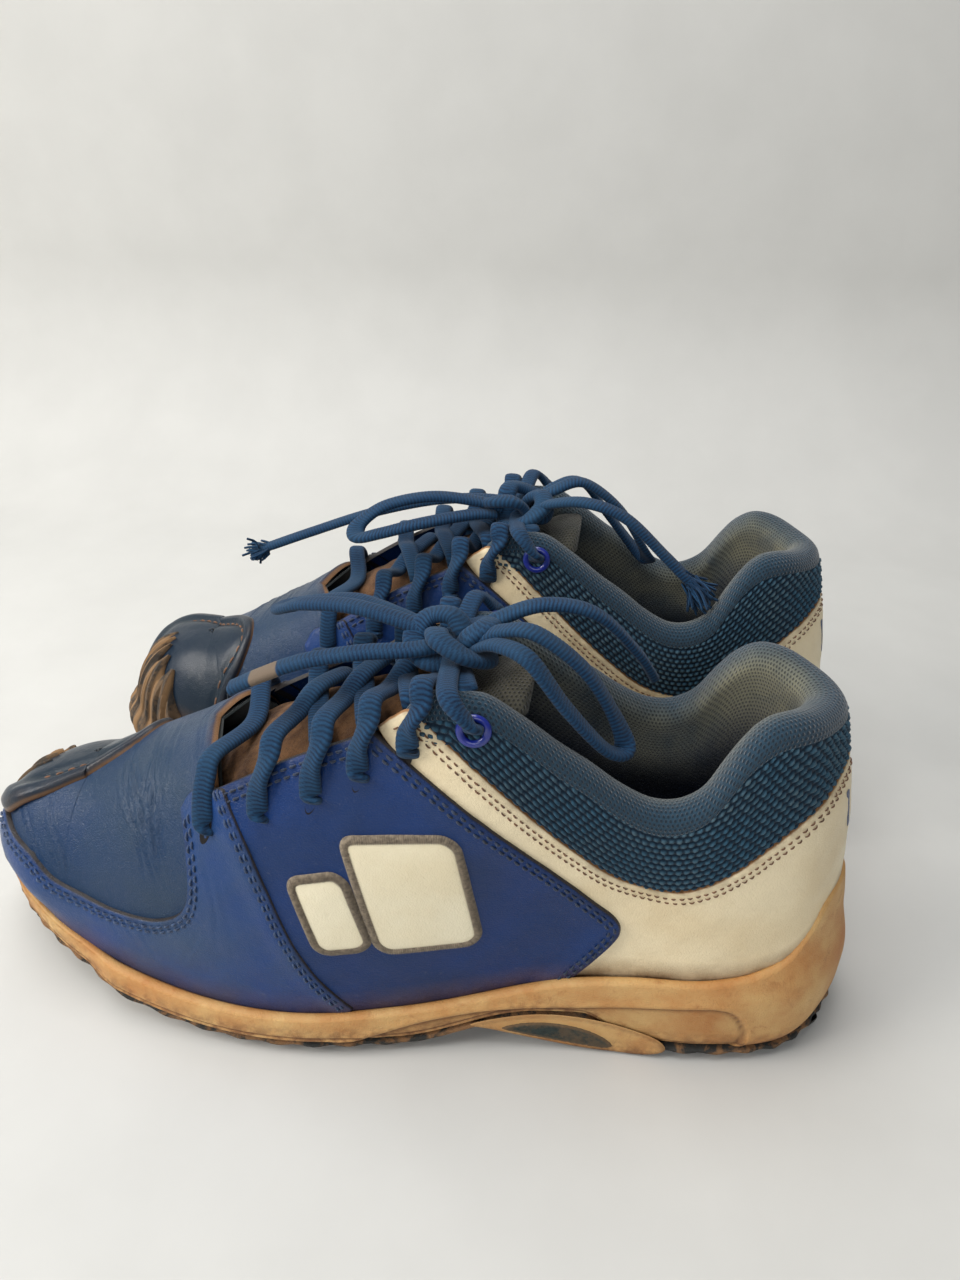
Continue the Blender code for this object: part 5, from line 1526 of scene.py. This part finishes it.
def cord(path, width, thickness, closed=False, spacing=0.38, pinch=(0.0, 0.0)):
    """Points, faces and knob values of a braided cord along a path of guide points."""
    path = np.asarray(path, float)
    dense = catmull(path, 24, closed=closed)
    if closed:
        dense = np.vstack([dense, dense[:1]])
    length = np.linalg.norm(np.diff(dense, axis=0), axis=1).sum()
    count = int(length / spacing)
    share = np.arange(count) / count if closed else np.linspace(0, 1, count)
    line = resample(dense, share)
    step = np.gradient(line, axis=0)
    if closed:
        step = np.roll(line, -1, 0) - np.roll(line, 1, 0)
    step = unit(step)
    level_ = np.cross(step, [0.0, 0.0, 1.0])
    level_ = level_ / np.maximum(np.linalg.norm(level_, axis=1)[:, None], 0.15)
    for _ in range(12):
        if closed:
            level_ = (np.roll(level_, 1, 0) + level_ + np.roll(level_, -1, 0)) / 3
        else:
            level_[1:-1] = (level_[:-2] + level_[1:-1] + level_[2:]) / 3
    level_ -= step * (level_ * step).sum(1)[:, None]
    level_ /= np.maximum(np.linalg.norm(level_, axis=1)[:, None], 1e-6)
    up = np.cross(level_, step)
    columns = 18
    angle = round_angles(columns)
    across = squared(np.cos(angle), 0.85)
    high = squared(np.sin(angle), 0.7)
    s = share[:, None] * length
    # knob also paints the braid lighter on its raised strands (painted highlight) and darker in the hollows
    # (painted shade).
    knob = 0.5 + 0.5 * np.cos(2 * math.pi * (s / BRAID_PITCH + 0.5 * np.abs(across)[None] * 1.6))
    knob = knob * (0.75 + 0.25 * np.cos(angle * 3)[None]**2)
    half = np.full(count, width / 2)
    if not closed:
        from_end = s[:, 0] + 0.01
        to_end = length - s[:, 0] + 0.01
        half = half * (1 - pinch[0] * np.exp(-from_end / 3.0)) * (1 - pinch[1] * np.exp(-to_end / 2.0))
    bulge = 0.08 * knob
    x = (half[:, None] + bulge) * across[None]
    y = (thickness / 2 + bulge) * high[None]
    points = line[:, None] + level_[:, None] * x[..., None] + up[:, None] * y[..., None]
    faces = grid_faces(count, columns, wrap=True)
    flat, knob, where = points.reshape(-1, 3), knob.ravel(), np.repeat(share, columns)
    k = np.arange(columns)
    after = (k + 1) % columns
    end = (count - 1) * columns
    if closed:
        seam = np.stack([end + k, end + after, after, k], -1)
        return flat, np.vstack([faces, seam]), np.zeros((0, 3), int), knob, where
    base = np.full(columns, len(flat))
    fans = np.vstack([np.stack([base, after, k], -1), np.stack([base + 1, end + k, end + after], -1)])
    flat = np.vstack([flat, points[0].mean(0), points[-1].mean(0)])
    return flat, faces, fans, np.concatenate([knob, [0, 0]]), np.concatenate([where, [0, 1]])


def cords(name, lines, body, shoes=SHOES, tones=None):
    """Several cords as one piece, which stands for the CAD piece of the same name."""
    points, quads, fans, knobs, tone = [], [], [], [], []
    total = 0
    for path, options in lines:
        flat, faces, tips, knob, where = cord(path, **options)
        points.append(flat)
        quads.append(faces + total)
        fans.append(tips + total)
        knobs.append(knob)
        tone.append(tones(where) if tones else np.zeros(len(flat)))
        total += len(flat)
    values = {"knob": np.concatenate(knobs), "tone": np.concatenate(tone)}
    both(name, np.vstack(points), [np.vstack(quads), np.vstack(fans)], "lace", [name], body=body,
         attributes=values, shoes=shoes)


def on_upper(a, z, side, away):
    """The point this far above the leather's top surface."""
    base = wall(q_at(a, side), z).reshape(1, 3)
    return (base + outward(base) * (TOP_OF_LEATHER + swell(base) + away)[:, None])[0]


def lace_start(hole, side, towards):
    """A strand's first points: out of a hole, up the facing and over its edge."""
    a = hole[0] * 0.75 + towards * 0.25
    edge = float(along(FACING_LINE, a))
    return [on_upper(hole[0] + 0.4, hole[1] - 1.6, side, -3.2),
            on_upper(hole[0] + 0.3, hole[1] + 0.4, side, 0.6),
            on_upper(hole[0] * 0.9 + a * 0.1, hole[1] * 0.55 + edge * 0.45, side, 1.7),
            on_upper(a, edge - 1.6, side, 1.9), on_upper(a, edge + 1.2, side, 0.2) + (0, -side * 1.5, 0.8)]


def lace_row(start, end, over):
    """One run: out of a hole, across the tongue, and in beneath the facing by the far hole."""
    (near, side), (far, other) = start, end
    middle = (near[0] + far[0]) / 2
    crossing = np.array([middle, 0.0, float(along(TONGUE_LINE, middle)) + 3.4 + over])
    a = near[0] * 0.2 + far[0] * 0.8
    edge = float(along(FACING_LINE, a))
    early = near[0] * 0.7 + far[0] * 0.3
    quarter = np.array([early, side * 9.0, float(along(TONGUE_LINE, early)) + 2.6 + over])
    return [*lace_start(near, side, far[0]), quarter, crossing,
            on_upper(a, edge + 0.6, other, -8.5), on_upper(a - 1.5, edge - 3.5, other, -8.2)]


def lace_bar(hole):
    """The lowest run, which goes straight across from one front hole to the other."""
    sides_ = [lace_start(hole, side, hole[0] - 4) for side in (-1, 1)]
    middle = hole[0] - 3
    crossing = np.array([middle, 0.0, float(along(TONGUE_LINE, middle)) + 2.6])
    return [*sides_[0], crossing, *sides_[1][::-1]]


def knot_path():
    """A cord wound over and under itself, as in the middle of a tied bow."""
    turns = np.linspace(0, 2 * math.pi, 40, endpoint=False)
    radius = 7.4 + 3.4 * np.cos(3 * turns)
    return np.column_stack([KNOT[0] + radius * np.cos(2 * turns) * 1.05,
                            KNOT[1] + radius * np.sin(2 * turns) * 0.95,
                            KNOT[2] + 1.6 + 4.2 * np.sin(3 * turns)])


def make_lacing():
    holes = LACE_HOLES + [EYELET_AT]
    row = {"width": 5.9, "thickness": 2.7}
    lines = [(lace_bar(holes[0]), row)]
    for k in range(1, len(holes) - 1):
        lines.append((lace_row((holes[k], -1), (holes[k + 1], 1), 2.9), row))
        lines.append((lace_row((holes[k], 1), (holes[k + 1], -1), 0.2), row))
    for side in (-1, 1):
        ring_point = on_upper(*EYELET_AT, side, -1.2)
        out = on_upper(EYELET_AT[0] + 0.5, EYELET_AT[1] + 2.5, side, 2.6)
        rim = on_upper(118, 118.4, side, 1.0) + (0, 0, 3.2)
        lines.append(([ring_point, out, rim, KNOT + (0, side * 8, -1), KNOT],
                      {"width": 5.4, "thickness": 2.7}))
    lines.append((knot_path()[::2], {"closed": True, "width": 6.4, "thickness": 3.6}))
    cords("lace", lines, "shoe")


# The guide points of the bow's two loops and, on each shoe, of the lace's two ends.
LOOP_A = [(127, 2, 123), (133, 3, 125), (150, 6, 127.5), (166, 10, 125), (175, 15, 119.5), (174, 21, 117.5),
          (166, 21, 119.5), (153, 18, 122.5), (138, 10, 123), (129, 5, 122)]
LOOP_B = [(115, -2, 124), (109, -3, 128.5), (99, -6, 130.5), (86, -7, 121), (77, -8, 107),
          (74, -11, 99.5), (79, -15, 102), (90, -16, 115), (100, -14, 127.5), (109, -8, 127.5),
          (115, -4, 123.5)]
END_A_LEFT = [(126, -3, 122.5), (133, -6, 122.5), (146, -8, 121.8), (161, -10, 119),
              (172, -12, 115), (181, -13, 110.5)]
END_A_RIGHT = [(126, -3, 122.5), (133, -6, 122.5), (152, -7, 120.5), (176, -7, 114), (200, -6, 105),
               (220, -5, 97)]
END_B_LEFT = [(115, 3, 123.5), (110, 6, 127), (98, 10, 130), (84, 12, 127), (72, 15, 114),
              (66, 17, 104)]
END_B_RIGHT = [(115, 3, 123.5), (110, 6, 127), (98, 10, 130), (84, 12, 126), (70, 14, 114),
               (60, 16, 105)]


TASSEL_STRANDS = 46


def tassel(path, reach_, seed):
    """Loose strands fanned out from the frayed end of a cord along this path."""
    draw = np.random.RandomState(seed)
    tip = np.asarray(path[-1])
    towards = unit(np.subtract(path[-1], path[-2]))
    lines = []
    for _ in range(TASSEL_STRANDS):
        way = unit(towards + draw.normal(0, 0.36, 3))
        start = tip + draw.normal(0, 1.0, 3) - towards * 2
        droop = np.array([0, 0, -1.0]) * draw.uniform(0, 2.0)
        end = start + way * reach_ * draw.uniform(0.7, 1.15) + droop
        lines.append(([start, (start + end) / 2 + draw.normal(0, 0.5, 3), end],
                      {"width": 0.85, "thickness": 0.75, "spacing": 1.0}))
    return lines


def make_bow():
    cords("bow_loop_a", [(LOOP_A, {"width": 6.2, "thickness": 2.8})], "bow_loop_a")
    cords("bow_loop_b", [(LOOP_B, {"width": 5.8, "thickness": 2.7})], "bow_loop_b")
    left, right = SHOES

    def taped(where):
        return ((where > 0.74) & (where < 0.88)).astype(float)

    frayed = {"width": 5.8, "thickness": 2.8, "pinch": (0, 0.5)}
    cords("lace_end_a", [(END_A_LEFT, {"width": 6.0, "thickness": 2.9})], "lace_end_a", (left,), taped)
    cords("lace_end_a", [(END_A_RIGHT, frayed)] + tassel(END_A_RIGHT, 6.5, 21), "lace_end_a", (right,))
    cords("lace_end_b", [(END_B_LEFT, {"width": 5.8, "thickness": 2.8, "pinch": (0, 0.3)})],
          "lace_end_b", (left,))
    cords("lace_end_b", [(END_B_RIGHT, frayed)] + tassel(END_B_RIGHT, 11.0, 22), "lace_end_b", (right,))


def make_eyelets():
    for side, word in FLANKS:
        base = wall(q_at(EYELET_AT[0], side), EYELET_AT[1]).reshape(1, 3)
        normal = outward(base)[0]
        centre = base[0] + normal * (KNIT_OUT + 0.6 + float(swell(base)[0]))
        u = unit(np.cross(normal, (0, 0, 1)))
        v = np.cross(normal, u)
        angle, section = round_angles(56), round_angles(14)
        rows = []
        for k in angle:
            out = u * math.cos(k) + v * math.sin(k)
            radius = 3.5 + 1.05 * np.cos(section)
            height = 0.5 + 0.85 * np.sin(section)
            rows.append(centre + out * radius[:, None] + normal * height[:, None])
        grid = np.array(rows + rows[:1])
        both("eyelet_" + word, grid.reshape(-1, 3), [grid_faces(57, 14, wrap=True)], "ring",
             ["eyelet_" + word])
        # A near-black disc in the eyelet's middle: painted shade in its hole.
        rows = []
        out = u[None] * np.cos(angle)[:, None] + v[None] * np.sin(angle)[:, None]
        for radius, height in ((3.4, 0.1), (2.2, -0.5), (0.1, -0.6)):
            rows.append(centre + out * radius + normal * height)
        both("eyelet_hole_" + word, np.vstack(rows), [grid_faces(3, 56, wrap=True)], "hole")


def make_holes():
    """Near-black discs painted as the shade in the punched openings that the laces go into, each with a
    slightly raised rim.
    """
    for side, word in FLANKS:
        points, faces, total = [], [], 0
        for k, (a, z) in enumerate(LACE_HOLES):
            centre = to_uz([(a + 0.4, z - 0.8)], side)[0]
            angle = round_angles(28)
            long_, wide = (3.6, 2.9) if k < 4 else (4.6, 2.6)
            slant = math.radians(60) * side
            grid = []
            for share, height in ((1.12, 5.0), (1.0, 5.12), (0.8, 4.98), (0.05, 4.95)):
                x = np.cos(angle) * wide * share
                y = np.sin(angle) * long_ * share
                at = centre + np.column_stack([x * math.cos(slant) - y * math.sin(slant) * 0.4, y])
                grid.append(lift(at, height)[0])
            points.append(np.vstack(grid))
            faces.append(grid_faces(4, 28, wrap=True) + total)
            total += 4 * 28
        both("lace_holes_" + word, np.vstack(points), [np.vstack(faces)], "hole")


# ---------------------------------------------------------------- patches

CLEAN = 30.0  # a height above the sole with no soil on the leather
# The two bars of the patch, as (a, z).
BARS = [[(161.5, 64.5), (150, 67), (147.2, 64.8), (142, 44), (144.5, 41.5), (153.5, 40.5), (156, 42.5)],
        [(146.5, 78.5), (120.5, 81.5), (117.2, 79), (111.5, 45.5), (114, 42.5), (136, 40.5),
         (139.2, 43)]]


def make_badges():
    """A generic pair of bars on each quarter: white leather with a satin-stitched border."""
    for side, word in FLANKS:
        points, tris, edges, normals, total = [], [], [], [], 0
        border, border_faces, border_total = [], [], 0
        for bar in BARS:
            loop = round_corners(to_uz(bar, side), 3.0)
            loop = resample(np.vstack([loop, loop[:1]]), np.arange(150) / 150)
            uz, triangles, outline = fill(loop, 1.5)
            edge, _ = segment_distance(uz, outline)
            offset = TOP_OF_LEATHER + 0.75 * rounded(edge, 0.8) + 0.35 * rounded(edge, 6.0)
            lifted, normal = lift(uz, offset)
            points.append(lifted)
            tris.append(triangles + total)
            edges.append(edge + 2)
            normals.append(normal)
            total += len(uz)
            rim, faces = satin(outline)
            border.append(rim)
            border_faces.append(faces + border_total)
            border_total += len(rim)
        points, normals = np.vstack(points), np.vstack(normals)
        values = {"edge": np.concatenate(edges), "height": np.full(len(points), CLEAN),
                  "tone": np.zeros(len(points))}
        both("badge_" + word, points, [np.vstack(tris)], "badge", ["badge_" + word],
             attributes=values, normals=normals)
        both("badge_border_" + word, np.vstack(border), [np.vstack(border_faces)], "border_thread")


def round_corners(loop, radius):
    """A closed polygon with each corner turned into a short curve."""
    out = []
    for k in range(len(loop)):
        before, here, after = loop[k - 1], loop[k], loop[(k + 1) % len(loop)]
        one, two = before - here, after - here
        reach_ = min(radius, 0.45 * np.linalg.norm(one), 0.45 * np.linalg.norm(two))
        start = here + one / np.linalg.norm(one) * reach_
        end = here + two / np.linalg.norm(two) * reach_
        for t in np.linspace(0, 1, 7):
            out.append((1 - t)**2 * start + 2 * t * (1 - t) * here + t * t * end)
    return np.array(out)


def satin(outline):
    """A raised border of close thread turns that lie across the edge of a patch."""
    loop = resample(np.vstack([outline, outline[:1]]), np.arange(620) / 620)
    tangent = np.roll(loop, -1, 0) - np.roll(loop, 1, 0)
    for _ in range(10):
        tangent = (np.roll(tangent, 1, 0) + tangent + np.roll(tangent, -1, 0)) / 3
    tangent = unit(tangent)
    outwards = np.stack([tangent[:, 1], -tangent[:, 0]], 1)
    rows = []
    turns = 0.22 * np.sin(np.arange(len(loop)) * math.pi / 1.5)
    for across, height in ((-1.45, 0.1), (-1.2, 0.8), (-0.6, 1.15), (0.1, 1.25), (0.8, 1.1),
                           (1.35, 0.65), (1.6, -0.1)):
        at = loop + outwards * (across + 0.15)
        rows.append(lift(at, TOP_OF_LEATHER + height + turns * (abs(across) < 1.5))[0])
    return np.vstack(rows), grid_faces(len(rows), len(loop), wrap=True)


def make_heel_mark():
    """A plain printed stripe on the back of the heel."""
    for side, word in ((-1, "outer"), (1, "inner")):
        loop = np.array([(side * 3.0, 74), (side * 5.2, 74.5), (side * 7.0, 88.5), (side * 4.6, 88.0)])
        uz, triangles, _ = fill(round_corners(loop, 1.2), 0.9, rings=(0.2,))
        points, normal = lift(uz, 4.46)
        values = {"edge": np.full(len(uz), 5.0), "height": np.full(len(uz), CLEAN),
                  "tone": np.zeros(len(uz))}
        both("heel_stripe_" + word, points, [triangles], "quarter", attributes=values,
             normals=normal)


# ---------------------------------------------------------------- hidden pieces, stage, light, camera

def dress_inner_pieces():
    looks = {"insole_board": "board", "toe_puff": "stiffener", "heel_counter": "stiffener",
             "vamp_lining": "tongue_mesh"}
    for name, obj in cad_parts.items():
        look = looks.get(name.split("_", 1)[1])
        if look and not obj.hide_render:
            obj.data.materials.clear()
            obj.data.materials.append(MATERIALS[look])


# The card under and behind the shoes, in metres: it curves up clear of the furthest pose.
STAGE_FRONT, STAGE_DEPTH, STAGE_CURVE, STAGE_TOP, STAGE_SIDE = -1.6, 0.26, 0.14, 1.6, 3.0


def stage_card():
    """Pale card that is clear from its back, so that it never hides the shoes from behind."""
    card = plain("stage_card", srgb(204, 204, 201), srgb(200, 200, 197), 0.85, 0.02, 0.02)
    tree = card.node_tree
    output = next(node for node in tree.nodes if node.type == "OUTPUT_MATERIAL")
    front = output.inputs["Surface"].links[0].from_socket
    side, clear, mix = (tree.nodes.new("ShaderNode" + kind)
                        for kind in ("NewGeometry", "BsdfTransparent", "MixShader"))
    tree.links.new(side.outputs["Backfacing"], mix.inputs[0])
    tree.links.new(front, mix.inputs[1])
    tree.links.new(clear.outputs[0], mix.inputs[2])
    tree.links.new(mix.outputs[0], output.inputs["Surface"])
    return card


def make_stage():
    profile = [(STAGE_FRONT, 0.0), (STAGE_DEPTH, 0.0)]
    for angle in np.linspace(0, math.pi / 2, 24)[1:]:
        profile.append((STAGE_DEPTH + STAGE_CURVE * math.sin(angle),
                        STAGE_CURVE * (1 - math.cos(angle))))
    profile.append((STAGE_DEPTH + STAGE_CURVE, STAGE_TOP))
    mesh = bpy.data.meshes.new("floor")
    count = len(profile)
    faces = [(count + k, count + k + 1, k + 1, k) for k in range(count - 1)]
    mesh.from_pydata([(x, y, z) for x in (-STAGE_SIDE, STAGE_SIDE) for y, z in profile], [], faces)
    mesh.shade_smooth()
    floor = bpy.data.objects.new("floor", mesh)
    bpy.context.scene.collection.objects.link(floor)
    floor.data.materials.append(stage_card())


def area_light(name, where, target, size, power, colour=(1, 1, 1)):
    light = bpy.data.lights.new(name, "AREA")
    light.shape = "RECTANGLE"
    light.size, light.size_y = size
    light.energy = power
    light.color = colour
    obj = bpy.data.objects.new(name, light)
    obj.location = where
    obj.rotation_euler = (Vector(target) - Vector(where)).to_track_quat("-Z", "Y").to_euler()
    bpy.context.scene.collection.objects.link(obj)


# The camera that the photo's outlines were fitted to. Its focal length is in pixels.
SENSOR, FOCAL_PIXELS, PHOTO_HEIGHT = 36.0, 900.0, 1280.0
CAMERA_AT, CAMERA_DOWN, CAMERA_TURN = (0.0495, -0.2461, 0.2525), 32.4, -7.9


def make_light_and_camera():
    world = bpy.data.worlds.new("studio")
    world.use_nodes = True
    background = world.node_tree.nodes["Background"]
    background.inputs["Color"].default_value = (0.93, 0.96, 1.0, 1)
    background.inputs["Strength"].default_value = 0.16
    bpy.context.scene.world = world
    bpy.context.scene.view_settings.view_transform = "Standard"
    area_light("overhead", (-0.15, 0.0, 1.1), (0, 0, 0.05), (0.8, 0.6), 8.0)
    area_light("key", (-0.75, -0.3, 0.6), (0, 0, 0.03), (0.5, 0.4), 6.5, (1.0, 0.96, 0.9))
    area_light("front", (0.0, -1.0, 0.55), (0, 0, 0.05), (0.8, 0.4), 3.0)
    camera = bpy.data.objects.new("camera", bpy.data.cameras.new("camera"))
    camera.data.sensor_width = SENSOR
    camera.data.lens = SENSOR * FOCAL_PIXELS / PHOTO_HEIGHT
    camera.data.clip_start = 0.01
    pitch, yaw = math.radians(CAMERA_DOWN), math.radians(CAMERA_TURN)
    forward = Vector((math.sin(yaw) * math.cos(pitch), math.cos(yaw) * math.cos(pitch),
                      -math.sin(pitch)))
    camera.location = CAMERA_AT
    camera.rotation_euler = forward.to_track_quat("-Z", "Y").to_euler()
    bpy.context.scene.collection.objects.link(camera)
    bpy.context.scene.camera = camera


make_vamp()
make_toe_cap()
make_toe_bumper()
make_panels()
make_heel_wrap()
make_collar()
make_lining()
make_padding()
make_midsole()
make_outsole()
make_shank()
make_shank_windows()
make_footbed()
make_tongue()
make_lacing()
make_bow()
make_eyelets()
make_holes()
make_badges()
make_heel_mark()
finish_sewing()
dress_inner_pieces()
make_stage()
make_light_and_camera()
